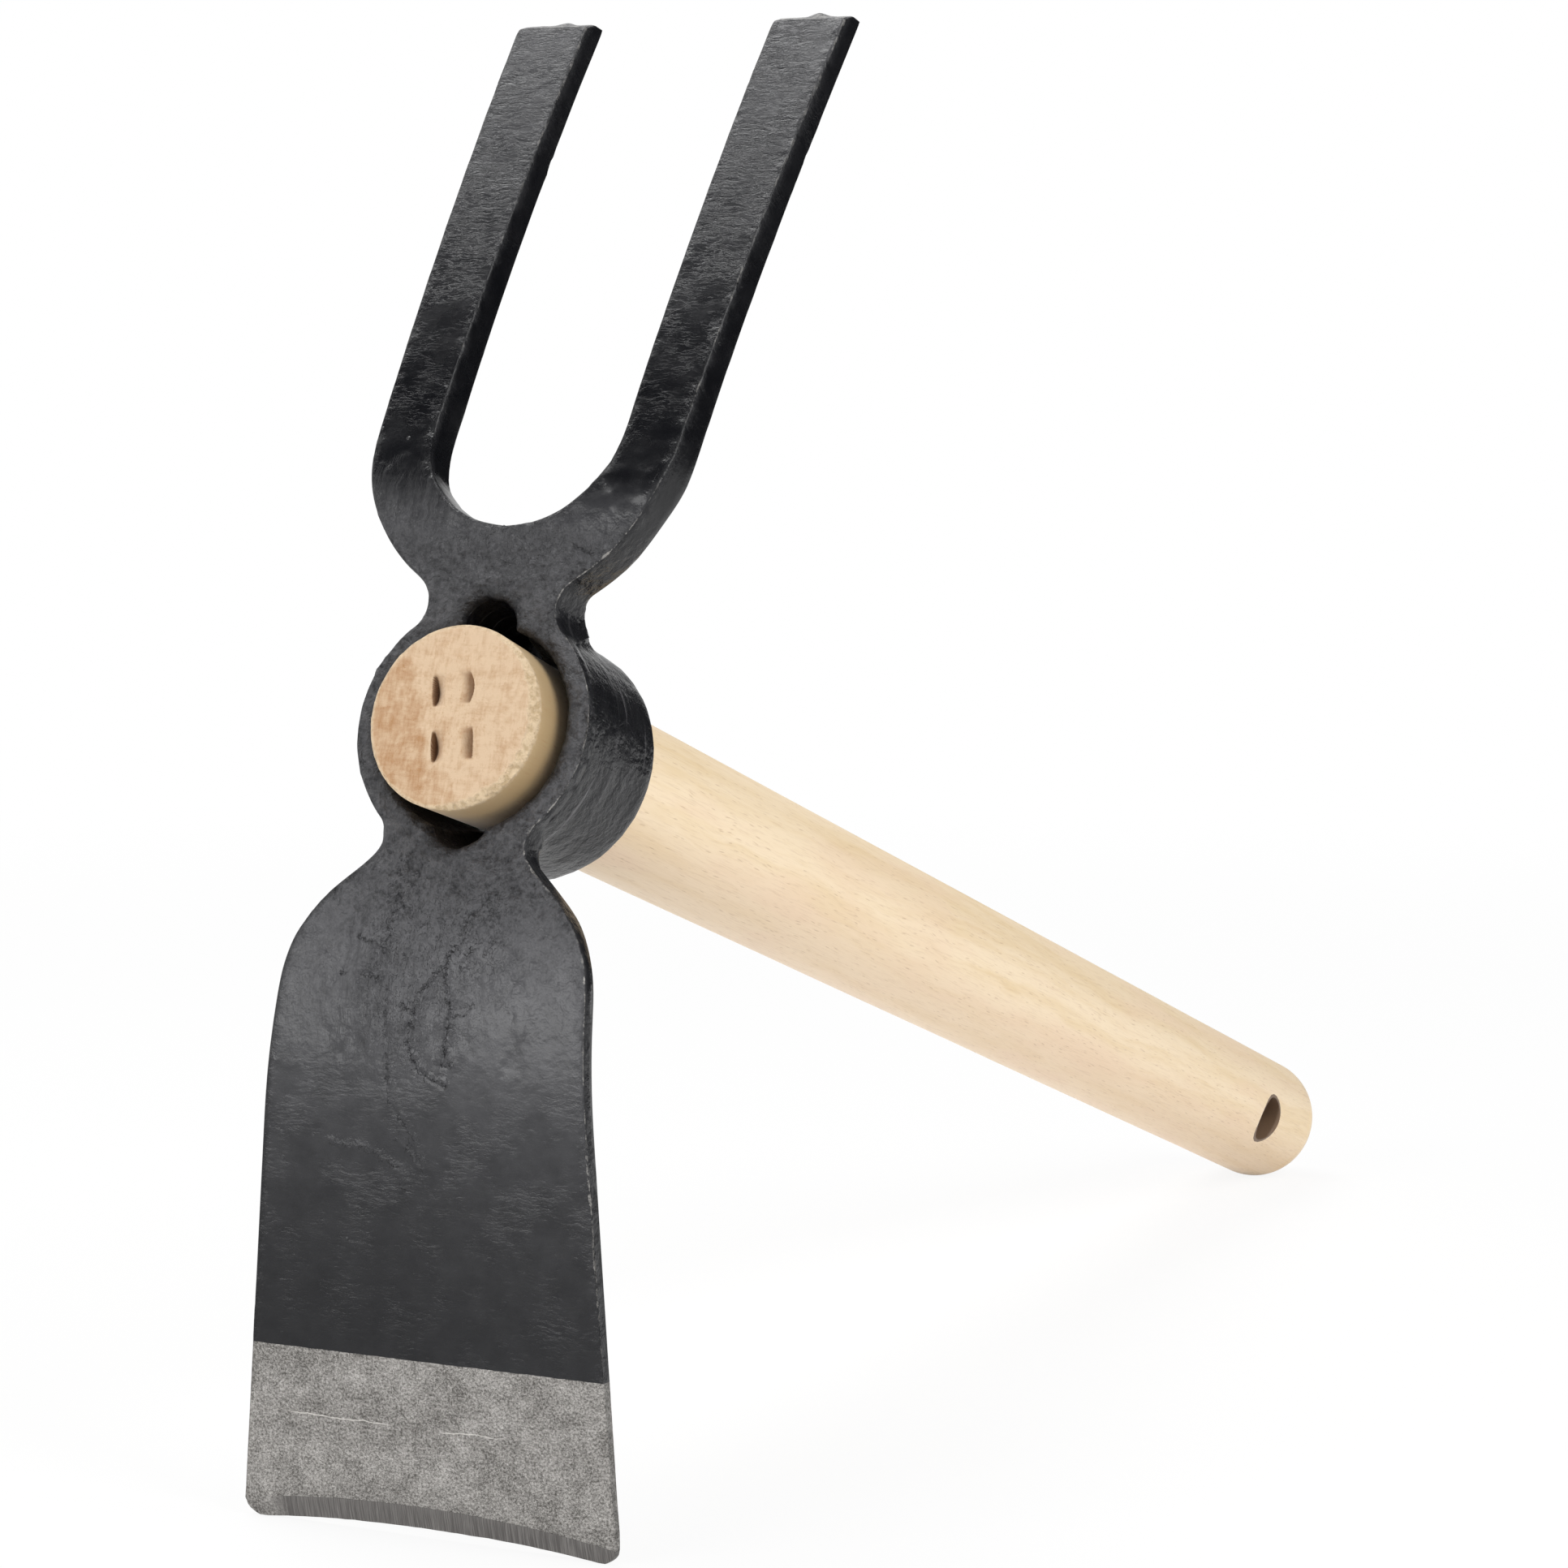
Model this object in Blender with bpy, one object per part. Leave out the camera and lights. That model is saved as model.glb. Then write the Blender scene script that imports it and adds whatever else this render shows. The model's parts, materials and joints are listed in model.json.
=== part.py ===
"""Two-ended hand hoe: a forged head with a square blade and a two-tine fork, on a turned beech handle.

Run with blender --background --python part.py, or from Blender's text editor. Metres, +Z up.

The tool is modelled with the handle's axis on Y, its sawn front end at Y = 0, the fork up and the blade down. The
head starts as a flat blank, whose points are (across, along, depth): across from the middle, along from the handle's
axis (fork positive, blade negative), and depth back from the blank's front face. The blank is then bent and thinned
to its forged shape. Last, both pieces are tipped so that the tool stands on its blade's two corners and its grip end.
"""

import math

import bmesh
import bpy
import numpy as np
from mathutils import Matrix, Vector

MM = 0.001

# Handle
HANDLE_LENGTH = 400 * MM
SAWN_END_DIAMETER = 30.2 * MM
GRIP_DIAMETER = 27.6 * MM
FLARE_LENGTH = 38 * MM
SAWN_EDGE_CHAMFER = 0.5 * MM
GRIP_END_ROUND = 8.7 * MM
GRIP_END_DOME_START = math.radians(54)
HANG_HOLE_DIAMETER = 10.4 * MM
HANG_HOLE_FROM_END = 36.5 * MM
HANG_HOLE_ROLL = math.radians(16.5)
HANG_HOLE_COUNTERSINK = 1.2 * MM
DRIVE_MARK_WIDTH = 6.6 * MM
DRIVE_MARK_HEIGHT = 5.8 * MM
DRIVE_MARK_DEPTH = 1.6 * MM
DRIVE_MARK_FLOOR_WIDTH = 4.7 * MM
DRIVE_MARK_FLOOR_HEIGHT = 3.4 * MM
DRIVE_MARK_SPREAD = 4.9 * MM
DRIVE_MARK_ROLL = math.radians(-8.4)

# Eye and collar
HANDLE_STANDS_PROUD = 6.1 * MM
EYE_LENGTH = 26 * MM
EYE_WALL = 4.1 * MM
MOUTH_GAP = 1.8 * MM
MOUTH_DEPTH = 5 * MM
SEAT_LENGTH = 11 * MM
SEAT_CLEARANCE = 0.3 * MM
FLANGE_THICKNESS = 3 * MM
COLLAR_STEP = 0.35 * MM
COLLAR_TAPER = 0.75 * MM
COLLAR_REAR_ROUND = 1.2 * MM
FLUTE_RADIUS = 5.1 * MM
FLUTE_LENGTH = 18 * MM
TOP_FLUTE_DEPTH = 4.4 * MM
BOTTOM_FLUTE_DEPTH = 3.0 * MM

# Blade, along the blank from the handle's axis
BLADE_REACH = 131.9 * MM
BLADE_EDGE_WIDTH = 69.2 * MM
BLADE_SHOULDER_WIDTH = 54.5 * MM
BLADE_SHOULDER_REACH = 33.6 * MM
BLADE_SHOULDER_ROUND = 23 * MM
BLADE_SHOULDER_SLOPE = math.radians(42)
BLADE_CORNER_ROUND = 3 * MM
BLADE_EDGE_ARCH = 1.9 * MM
BLADE_NECK_ROUND = 4.9 * MM
BLADE_BEND_START = 36.5 * MM
BLADE_BEND_RADIUS = 84 * MM
BLADE_LEAN = math.radians(19)
BLADE_NECK_THICKNESS = 5.2 * MM
BLADE_NECK_FILLET = 4.5 * MM
BLADE_NECK_FILLET_RISE = 6 * MM
BLADE_THICKNESS = 3.3 * MM
BLADE_THINNED_REACH = 36 * MM
BLADE_EDGE_THICKNESS = 1.6 * MM
GROUND_BEVEL_WIDTH = 3.6 * MM
GROUND_EDGE_LAND = 0.7 * MM

# Fork, along the blank from the handle's axis
FORK_REACH = 137 * MM
FORK_TIP_WIDTH = 63.5 * MM
FORK_BASE_WIDTH = 55.2 * MM
FORK_BASE_REACH = 33 * MM
FORK_BASE_ROUND = 33 * MM
FORK_BASE_SLOPE = math.radians(33)
FORK_NECK_ROUND = 5.8 * MM
FORK_GAP_AT_TIP = 36 * MM
FORK_GAP_AT_CROTCH = 35 * MM
CROTCH_REACH = 33.4 * MM
TINE_CORNER_ROUND = 0.9 * MM
FORK_BEND_START = 35.5 * MM
FORK_BEND_RADIUS = 30 * MM
FORK_LEAN = math.radians(15.2)
TINE_SWEEP_RADIUS = 800 * MM
FORK_NECK_THICKNESS = 8.4 * MM
FORK_NECK_FILLET = 8 * MM
FORK_NECK_FILLET_RISE = 13 * MM
FORK_BASE_THICKNESS = 7.7 * MM
TINE_THICKNESS = 6.3 * MM
TINE_TIP_THICKNESS = 4.9 * MM
TINE_TIP_SLANT = math.radians(49)
TINE_TIP_LENGTH = 9 * MM

# Ring and edges of the forging
RING_TANGENT = math.radians(45)
NECK_START = math.radians(46)
NECK_FULL = math.radians(58)
NECK_WEB = 0.8 * MM
EDGE_ROUND = 0.55 * MM

# Facets
CHORD_ERROR = 0.03 * MM
TURNED_STEPS = 72
OVERCUT = 3 * MM

EYE_FRONT = HANDLE_STANDS_PROUD
EYE_REAR = EYE_FRONT + EYE_LENGTH
MOUTH_RADIUS = SAWN_END_DIAMETER / 2 + MOUTH_GAP
FLANGE_RADIUS = MOUTH_RADIUS + EYE_WALL
COLLAR_RADIUS = FLANGE_RADIUS - COLLAR_STEP
BLANK_THICKNESS = FORK_NECK_THICKNESS

UP, DOWN = 1, -1


def clear_scene():
    for thing in list(bpy.data.objects):
        bpy.data.objects.remove(thing, do_unlink=True)


def principled(name, colour, roughness, metallic):
    material = bpy.data.materials.new(name)
    material.use_nodes = True
    shader = material.node_tree.nodes["Principled BSDF"]
    shader.inputs["Base Color"].default_value = (*colour, 1)
    shader.inputs["Roughness"].default_value = roughness
    shader.inputs["Metallic"].default_value = metallic
    return material


def object_from(name, bm, material=None):
    """Turns a bmesh into a linked object, with its faces pointing out."""
    bmesh.ops.recalc_face_normals(bm, faces=bm.faces)
    mesh = bpy.data.meshes.new(name)
    bm.to_mesh(mesh)
    bm.free()
    thing = bpy.data.objects.new(name, mesh)
    bpy.context.scene.collection.objects.link(thing)
    if material:
        mesh.materials.append(material)
    return thing


def combine(target, tool, operation):
    """Adds a Boolean of a helper object, which then stays out of renders."""
    modifier = target.modifiers.new(f"{operation.lower()} {tool.name}", "BOOLEAN")
    modifier.operation = operation
    modifier.solver = "EXACT"
    modifier.object = tool
    tool.hide_render = True
    tool.display_type = "WIRE"
    tool.parent = target


def turned(name, profile, material=None):
    """A solid of revolution about Y, from (radius, y) points that start and end on the axis."""
    bm = bmesh.new()
    points = [bm.verts.new((radius, y, 0)) for radius, y in profile]
    edges = [bm.edges.new(pair) for pair in zip(points, points[1:])]
    bmesh.ops.spin(
        bm, geom=points + edges, cent=(0, 0, 0), axis=(0, 1, 0), angle=math.tau, steps=TURNED_STEPS, use_merge=True
    )
    bmesh.ops.remove_doubles(bm, verts=bm.verts, dist=0.001 * MM)
    return object_from(name, bm, material)


def arc(centre, radius, start, end, count):
    """Points on an arc, angles in radians, both ends included."""
    angles = np.linspace(start, end, count)
    return [(centre[0] + radius * math.cos(a), centre[1] + radius * math.sin(a)) for a in angles]


def rounded(corners):
    """Replaces the inner corners of an open line, given as (x, y, radius), with tangent arcs."""
    points = [np.array(corner[:2]) for corner in corners]
    ways = [(b - a) / np.linalg.norm(b - a) for a, b in zip(points, points[1:])]
    gaps = [np.linalg.norm(b - a) for a, b in zip(points, points[1:])]
    turns = [math.acos(np.clip(before @ after, -1, 1)) for before, after in zip(ways, ways[1:])]
    tangents = [0.0] + [corner[2] * math.tan(turn / 2) for corner, turn in zip(corners[1:], turns)] + [0.0]
    for i, gap in enumerate(gaps):
        wanted = tangents[i] + tangents[i + 1]
        if wanted > gap:
            tangents[i] *= 0.999 * gap / wanted
            tangents[i + 1] *= 0.999 * gap / wanted

    line = [tuple(points[0])]
    for i, turn in enumerate(turns, start=1):
        radius = tangents[i] / math.tan(turn / 2)
        before, after = ways[i - 1], ways[i]
        side = math.copysign(1, before[0] * after[1] - before[1] * after[0])
        start = points[i] - before * tangents[i]
        centre = start + side * radius * np.array((-before[1], before[0]))
        first = math.atan2(*(start - centre)[::-1])
        count = max(2, 1 + math.ceil(turn / (2 * math.acos(1 - min(0.5, CHORD_ERROR / radius)))))
        line += arc(centre, radius, first, first + side * turn, count)
    line.append(tuple(points[-1]))
    return line


def handle_radius(y):
    return np.interp(y, [0, FLARE_LENGTH], [SAWN_END_DIAMETER / 2, GRIP_DIAMETER / 2])


def make_handle(material):
    grip_radius = GRIP_DIAMETER / 2
    rim_radius = grip_radius - GRIP_END_ROUND
    dome_radius = GRIP_END_ROUND + rim_radius / math.cos(GRIP_END_DOME_START)
    dome_y = HANDLE_LENGTH - dome_radius
    rim_y = dome_y + (dome_radius - GRIP_END_ROUND) * math.sin(GRIP_END_DOME_START)
    handle = turned(
        "handle",
        [
            (0, 0),
            (handle_radius(0) - SAWN_EDGE_CHAMFER, 0),
            (handle_radius(SAWN_EDGE_CHAMFER), SAWN_EDGE_CHAMFER),
            (grip_radius, FLARE_LENGTH),
            *arc((rim_radius, rim_y), GRIP_END_ROUND, 0, GRIP_END_DOME_START, 8),
            *arc((0, dome_y), dome_radius, GRIP_END_DOME_START, math.pi / 2, 7)[1:-1],
            (0, HANDLE_LENGTH),
        ],
        material,
    )
    combine(handle, hang_hole_cutter(grip_radius), "DIFFERENCE")
    for number, side in enumerate((UP, DOWN), start=1):
        combine(handle, drive_mark_cutter(number, side), "DIFFERENCE")
    return handle


def hang_hole_cutter(grip_radius):
    """A drill with a countersink at both mouths, turned about the handle as the hole is."""
    radius = HANG_HOLE_DIAMETER / 2
    sink_start = grip_radius - HANG_HOLE_COUNTERSINK
    sink_end = grip_radius + OVERCUT
    flared = radius + sink_end - sink_start
    cutter = turned(
        "hang_hole_cutter",
        [
            (0, -sink_end),
            (flared, -sink_end),
            (radius, -sink_start),
            (radius, sink_start),
            (flared, sink_end),
            (0, sink_end),
        ],
    )
    across = Matrix.Rotation(-math.pi / 2, 4, "Z")
    cutter.matrix_basis = (
        Matrix.Translation((0, HANDLE_LENGTH - HANG_HOLE_FROM_END, 0))
        @ Matrix.Rotation(HANG_HOLE_ROLL, 4, "Y")
        @ across
    )
    return cutter


def drive_mark_cutter(number, side):
    """One tooth of the lathe's drive centre, pressed into the sawn end: a steep left wall, the other walls sloping."""
    outside = 1 + OVERCUT / DRIVE_MARK_DEPTH
    bm = bmesh.new()
    bmesh.ops.create_cube(bm, size=1)
    for vert in bm.verts:
        rise, y = (0, DRIVE_MARK_DEPTH) if vert.co.y > 0 else (outside, -OVERCUT)
        width = DRIVE_MARK_FLOOR_WIDTH + rise * (DRIVE_MARK_WIDTH - DRIVE_MARK_FLOOR_WIDTH)
        height = DRIVE_MARK_FLOOR_HEIGHT + rise * (DRIVE_MARK_HEIGHT - DRIVE_MARK_FLOOR_HEIGHT)
        x = (vert.co.x + 0.5) * width - DRIVE_MARK_WIDTH / 2
        vert.co = Vector((x, y, vert.co.z * height + side * DRIVE_MARK_SPREAD))
    cutter = object_from(f"drive_mark_cutter_{number}", bm)
    cutter.rotation_euler = (0, DRIVE_MARK_ROLL, 0)
    return cutter


def neck_corner(direction, outer_corner, slope):
    """Where a line at 45 degrees off the eye's ring meets the line that slopes in from a shoulder."""
    ring_x = FLANGE_RADIUS / math.cos(RING_TANGENT)
    ring_rise = 1 / math.tan(RING_TANGENT)
    x, along = outer_corner[0], abs(outer_corner[1])
    rise = math.tan(slope)
    meet = (ring_x * ring_rise - along + x * rise) / (ring_rise + rise)
    return (meet, direction * (ring_x - meet) * ring_rise)


def edge_corner():
    """The corner whose rounding arches the cutting edge: half way out, at the arch's height."""
    half = BLADE_EDGE_WIDTH / 2
    rise = math.atan2(BLADE_EDGE_ARCH, half / 2)
    radius = (half / 2 - 1.3 * BLADE_CORNER_ROUND) / math.tan(rise / 2)
    return (half / 2, BLADE_EDGE_ARCH - BLADE_REACH, radius)


def half_outline():
    """The blank's right half, from the middle of the cutting edge round to the middle of the crotch."""
    shoulder = (BLADE_SHOULDER_WIDTH / 2, -BLADE_SHOULDER_REACH)
    fork_base = (FORK_BASE_WIDTH / 2, FORK_BASE_REACH)
    return rounded(
        [
            (0, BLADE_EDGE_ARCH - BLADE_REACH, 0),
            edge_corner(),
            (BLADE_EDGE_WIDTH / 2, -BLADE_REACH, BLADE_CORNER_ROUND),
            (*shoulder, BLADE_SHOULDER_ROUND),
            (*neck_corner(DOWN, shoulder, BLADE_SHOULDER_SLOPE), BLADE_NECK_ROUND),
            (FLANGE_RADIUS / math.cos(RING_TANGENT), 0, FLANGE_RADIUS),
            (*neck_corner(UP, fork_base, FORK_BASE_SLOPE), FORK_NECK_ROUND),
            (*fork_base, FORK_BASE_ROUND),
            (FORK_TIP_WIDTH / 2, FORK_REACH, TINE_CORNER_ROUND),
            (FORK_GAP_AT_TIP / 2, FORK_REACH, TINE_CORNER_ROUND),
            (FORK_GAP_AT_CROTCH / 2, CROTCH_REACH, FORK_GAP_AT_CROTCH / 2),
            (0, CROTCH_REACH, 0),
        ]
    )


def bent_spine(along):
    """Where the bent blank's front face lies at each distance along it, and its lean: y, z and angle arrays."""
    blade = ((BLADE_BEND_START, 0), (BLADE_BEND_RADIUS * BLADE_LEAN, 1 / BLADE_BEND_RADIUS), (BLADE_REACH, 0))
    fork = (
        (FORK_BEND_START, 0),
        (FORK_BEND_RADIUS * FORK_LEAN, 1 / FORK_BEND_RADIUS),
        (FORK_REACH, 1 / TINE_SWEEP_RADIUS),
    )
    y = np.full_like(along, EYE_FRONT)
    z = np.zeros_like(along)
    lean = np.zeros_like(along)
    for direction, stretches in ((DOWN, blade), (UP, fork)):
        side = along * direction >= 0
        left = np.abs(along[side])
        for length, curve in stretches:
            step = np.minimum(left, length)
            left = left - step
            turned_to = lean[side] + curve * step
            middle = (lean[side] + turned_to) / 2
            chord = np.sinc(curve * step / math.tau) * step
            y[side] += chord * np.sin(middle)
            z[side] += direction * chord * np.cos(middle)
            lean[side] = turned_to
    return y, z, lean


def forged_thickness(across, along):
    """The blank's thickness: thin at the tips, full at the necks, and filleted up to the collar's back."""
    reach = np.abs(along)
    off_collar = np.hypot(across, along) - COLLAR_RADIUS
    blade = np.interp(
        reach,
        [COLLAR_RADIUS + BLADE_NECK_FILLET, BLADE_THINNED_REACH, BLADE_REACH],
        [BLADE_NECK_THICKNESS, BLADE_THICKNESS, BLADE_EDGE_THICKNESS],
    )
    fork = np.interp(
        reach,
        [COLLAR_RADIUS, FORK_BEND_START, 2 * FORK_BEND_START, FORK_REACH],
        [FORK_NECK_THICKNESS, FORK_BASE_THICKNESS, TINE_THICKNESS, TINE_TIP_THICKNESS],
    )
    blade += fillet_height(off_collar, BLADE_NECK_FILLET, BLADE_NECK_FILLET_RISE)
    fork += fillet_height(off_collar, FORK_NECK_FILLET, FORK_NECK_FILLET_RISE)
    over_neck = np.interp(np.arctan2(reach, np.abs(across)), [NECK_START, NECK_FULL], [0, 1])
    neck = np.maximum(over_neck, np.clip((off_collar - COLLAR_STEP) / NECK_WEB, 0, 1))
    return FLANGE_THICKNESS + (np.where(along < 0, blade, fork) - FLANGE_THICKNESS) * neck


def fillet_height(distance, run, rise):
    """How high an elliptic fillet stands at a distance from the wall that it climbs, its steepest tenth left off."""
    into = np.clip(0.9 - distance / run, 0, 1)
    return rise * (1 - np.sqrt(1 - into**2))


def forge(bm, scale_depth):
    """Bends flat (across, along, depth) points to the forged shape, with depth 0 to 1 scaled to the thickness."""
    flat = np.array([vert.co for vert in bm.verts], dtype=float)
    across, along, depth = flat.T
    if scale_depth:
        depth = depth * forged_thickness(across, along)
    tip = np.clip(1 - (FORK_REACH - along) / TINE_TIP_LENGTH, 0, 1)
    along = along + tip * depth * math.tan(TINE_TIP_SLANT)
    y, z, lean = bent_spine(along)
    back_y = depth * np.cos(lean)
    back_z = depth * np.sin(lean) * -np.sign(along)
    for vert, x, own_y, own_z in zip(bm.verts, across, y + back_y, z + back_z):
        vert.co = (x, own_y, own_z)


def bend_lines():
    """Distances along the blank where its faces are split, so that they can follow the bends and the fillets."""
    blade_neck = np.linspace(0.6 * COLLAR_RADIUS, COLLAR_RADIUS + BLADE_NECK_FILLET, 14)
    fork_neck = np.linspace(0.6 * COLLAR_RADIUS, COLLAR_RADIUS + FORK_NECK_FILLET, 18)
    blade_bend = BLADE_BEND_START + np.linspace(0, BLADE_BEND_RADIUS * BLADE_LEAN, 8)
    fork_bend = FORK_BEND_START + np.linspace(0, FORK_BEND_RADIUS * FORK_LEAN, 5)
    tines = np.linspace(fork_bend[-1], FORK_REACH, 9)[1:-1]
    return [*-blade_neck, *fork_neck, *-blade_bend, -BLADE_THINNED_REACH, *fork_bend, *tines]


def split(bm, faces, place, normal):
    """Cuts faces along a plane, without taking anything away."""
    edges = {edge for face in faces for edge in face.edges}
    verts = {vert for face in faces for vert in face.verts}
    bmesh.ops.bisect_plane(
        bm, geom=[*verts, *edges, *faces], plane_co=place, plane_no=normal, dist=0.01 * MM
    )


def make_blank():
    """The flat blank: the outline extruded to depth 1, its rims rounded, its faces split where it bends."""
    right = half_outline()
    left = [(-x, along) for x, along in reversed(right[1:-1])]
    bm = bmesh.new()
    front = bm.faces.new([bm.verts.new((x, along, 0)) for x, along in right + left])
    grown = bmesh.ops.extrude_face_region(bm, geom=[front], use_keep_orig=True)
    for vert in (part for part in grown["geom"] if isinstance(part, bmesh.types.BMVert)):
        vert.co.z = BLANK_THICKNESS
    rims = [edge for edge in bm.edges if edge.verts[0].co.z == edge.verts[1].co.z]
    bmesh.ops.bevel(
        bm, geom=rims, offset=EDGE_ROUND, offset_type="OFFSET", segments=2, profile=0.5, affect="EDGES"
    )
    for vert in bm.verts:
        vert.co.z /= BLANK_THICKNESS
    for along in bend_lines():
        split(bm, list(bm.faces), (0, along, 0), (0, 1, 0))
    neck_start = 0.6 * COLLAR_RADIUS
    neck_end = COLLAR_RADIUS + max(BLADE_NECK_FILLET, FORK_NECK_FILLET)
    for across in np.linspace(-FLANGE_RADIUS, FLANGE_RADIUS, 25)[1:-1]:
        necks = [face for face in bm.faces if neck_start < abs(face.calc_center_median().y) < neck_end]
        split(bm, necks, (across, 0, 0), (1, 0, 0))
    bmesh.ops.triangulate(bm, faces=bm.faces)
    return bm


def make_head(material):
    bm = make_blank()
    forge(bm, scale_depth=True)
    head = object_from("head", bm, material)
    combine(head, collar(), "UNION")
    combine(head, eye_cutter(), "DIFFERENCE")
    for name, side, depth in (("top", UP, TOP_FLUTE_DEPTH), ("bottom", DOWN, BOTTOM_FLUTE_DEPTH)):
        combine(head, flute_cutter(name, side, depth), "DIFFERENCE")
    combine(head, ground_bevel_cutter(), "DIFFERENCE")
    return head


def collar():
    """The socket behind the eye, solid until the eye is cut, starting inside the flange."""
    rear = COLLAR_RADIUS - COLLAR_TAPER
    start = EYE_FRONT + FLANGE_THICKNESS / 2
    rounding = arc((rear - COLLAR_REAR_ROUND, EYE_REAR - COLLAR_REAR_ROUND), COLLAR_REAR_ROUND, 0, math.pi / 2, 5)
    return turned("collar", [(0, start), (COLLAR_RADIUS, start), *rounding, (0, EYE_REAR)])


def eye_cutter():
    """The tapered eye: a seat that follows the handle's flare, opening to a wider mouth at the front."""
    seat_start = EYE_REAR - SEAT_LENGTH
    past = EYE_REAR + OVERCUT
    return turned(
        "eye_cutter",
        [
            (0, EYE_FRONT - OVERCUT),
            (MOUTH_RADIUS, EYE_FRONT - OVERCUT),
            (MOUTH_RADIUS, EYE_FRONT + MOUTH_DEPTH),
            (handle_radius(seat_start) + SEAT_CLEARANCE, seat_start),
            (handle_radius(EYE_REAR) + SEAT_CLEARANCE, EYE_REAR),
            (handle_radius(past) + SEAT_CLEARANCE, past),
            (0, past),
        ],
    )


def flute_cutter(name, side, depth):
    """A tapered round flute in the eye's wall, which runs out inside the eye."""
    start = EYE_FRONT - OVERCUT
    length = FLUTE_LENGTH + OVERCUT
    cutter = turned(
        f"{name}_flute_cutter",
        [(0, 0), (FLUTE_RADIUS, 0), (FLUTE_RADIUS, OVERCUT), (FLUTE_RADIUS / 2, length), (0, length)],
    )
    cutter.location = (0, start, side * (MOUTH_RADIUS + depth - FLUTE_RADIUS))
    return cutter


def ground_bevel_cutter():
    """A wedge swept along the arched edge, which grinds the front face down to a narrow land at the edge."""
    edge = np.array([point for point in half_outline() if point[1] < BLADE_CORNER_ROUND - BLADE_REACH])
    edge = edge[edge[:, 0] < BLADE_EDGE_WIDTH / 2 - BLADE_CORNER_ROUND]
    middle = edge[:, 1].max()
    slope = (middle - edge[-1, 1]) / edge[-1, 0] ** 2
    half = BLADE_EDGE_WIDTH / 2 + OVERCUT
    cut = BLADE_EDGE_THICKNESS - GROUND_EDGE_LAND
    rows = []
    bm = bmesh.new()
    for x in np.linspace(-half, half, 25):
        along = middle - slope * x**2
        section = (
            (along + 2 * GROUND_BEVEL_WIDTH, -cut),
            (along - GROUND_BEVEL_WIDTH, 2 * cut),
            (along - GROUND_BEVEL_WIDTH, -cut),
        )
        rows.append([bm.verts.new((x, *place)) for place in section])
    for row, after in zip(rows, rows[1:]):
        for i in range(3):
            bm.faces.new((row[i], row[i - 1], after[i - 1], after[i]))
    bm.faces.new(rows[0])
    bm.faces.new(reversed(rows[-1]))
    bmesh.ops.triangulate(bm, faces=bm.faces)
    forge(bm, scale_depth=False)
    return object_from("ground_bevel_cutter", bm)


def shape_of(thing):
    """The object's evaluated points, before its parent moves it."""
    graph = bpy.context.evaluated_depsgraph_get()
    mesh = thing.evaluated_get(graph).to_mesh()
    points = np.empty(len(mesh.vertices) * 3, dtype=np.float32)
    mesh.vertices.foreach_get("co", points)
    return points.reshape(-1, 3).astype(float)


def stand(head, handle):
    """Tips both pieces about X until blade and grip end touch the ground, with the box's bottom centre at 0."""
    bpy.context.view_layer.update()
    head_points, handle_points = shape_of(head), shape_of(handle)
    shallow, steep = 0.0, math.pi / 3
    for _ in range(40):
        tip = (shallow + steep) / 2
        down = np.array((0, -math.sin(tip), math.cos(tip)))
        if (head_points @ down).min() < (handle_points @ down).min():
            shallow = tip
        else:
            steep = tip
    turn = np.array(Matrix.Rotation(-tip, 3, "X"))
    tipped = np.vstack((head_points, handle_points)) @ turn.T
    low, high = tipped.min(axis=0), tipped.max(axis=0)

    stance = bpy.data.objects.new("stance", None)
    bpy.context.scene.collection.objects.link(stance)
    stance.rotation_euler = (-tip, 0, 0)
    stance.location = (-(low[0] + high[0]) / 2, -(low[1] + high[1]) / 2, -low[2])
    for piece in (head, handle):
        piece.parent = stance


def main():
    clear_scene()
    head = make_head(principled("black_painted_steel", (0.045, 0.045, 0.05), 0.45, 0.0))
    handle = make_handle(principled("oiled_beech", (0.80, 0.63, 0.43), 0.55, 0.0))
    stand(head, handle)


main()
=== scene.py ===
"""Looks of a two-ended hand hoe: a forged head in black paint, driven onto a turned beech handle.

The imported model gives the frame, in metres. Each piece is worked out in the tool's own frame, in millimetres: the
handle's axis on Y with its sawn end at 0, the fork up and the blade down. Stance carries points between the two.
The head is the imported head's own surface, split fine, eased and worked over with the marks of forging. The handle is
a turned surface on a grid of its own.
"""

import json
import logging
import math
from collections.abc import Callable
from dataclasses import dataclass
from enum import Enum

import bpy
import numpy as np
from mathutils import Euler, Matrix


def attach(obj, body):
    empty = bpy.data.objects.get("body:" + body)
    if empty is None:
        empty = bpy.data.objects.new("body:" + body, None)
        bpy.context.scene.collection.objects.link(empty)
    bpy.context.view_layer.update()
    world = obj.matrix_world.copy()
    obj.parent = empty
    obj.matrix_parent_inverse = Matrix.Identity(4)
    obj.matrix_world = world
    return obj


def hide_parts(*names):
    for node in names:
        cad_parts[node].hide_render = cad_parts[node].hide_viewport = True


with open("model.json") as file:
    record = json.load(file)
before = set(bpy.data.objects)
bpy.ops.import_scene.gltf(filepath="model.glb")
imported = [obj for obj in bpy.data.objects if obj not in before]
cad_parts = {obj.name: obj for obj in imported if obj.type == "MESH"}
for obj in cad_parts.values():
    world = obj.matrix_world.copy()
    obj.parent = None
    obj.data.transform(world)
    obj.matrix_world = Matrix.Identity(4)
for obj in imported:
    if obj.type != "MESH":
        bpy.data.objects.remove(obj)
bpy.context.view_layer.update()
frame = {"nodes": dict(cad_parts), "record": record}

MM = 0.001
LOG = logging.getLogger("hand_hoe")

Array = np.ndarray
Colour = tuple[float, float, float]
Point = tuple[float, float]
Socket = bpy.types.NodeSocket


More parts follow.
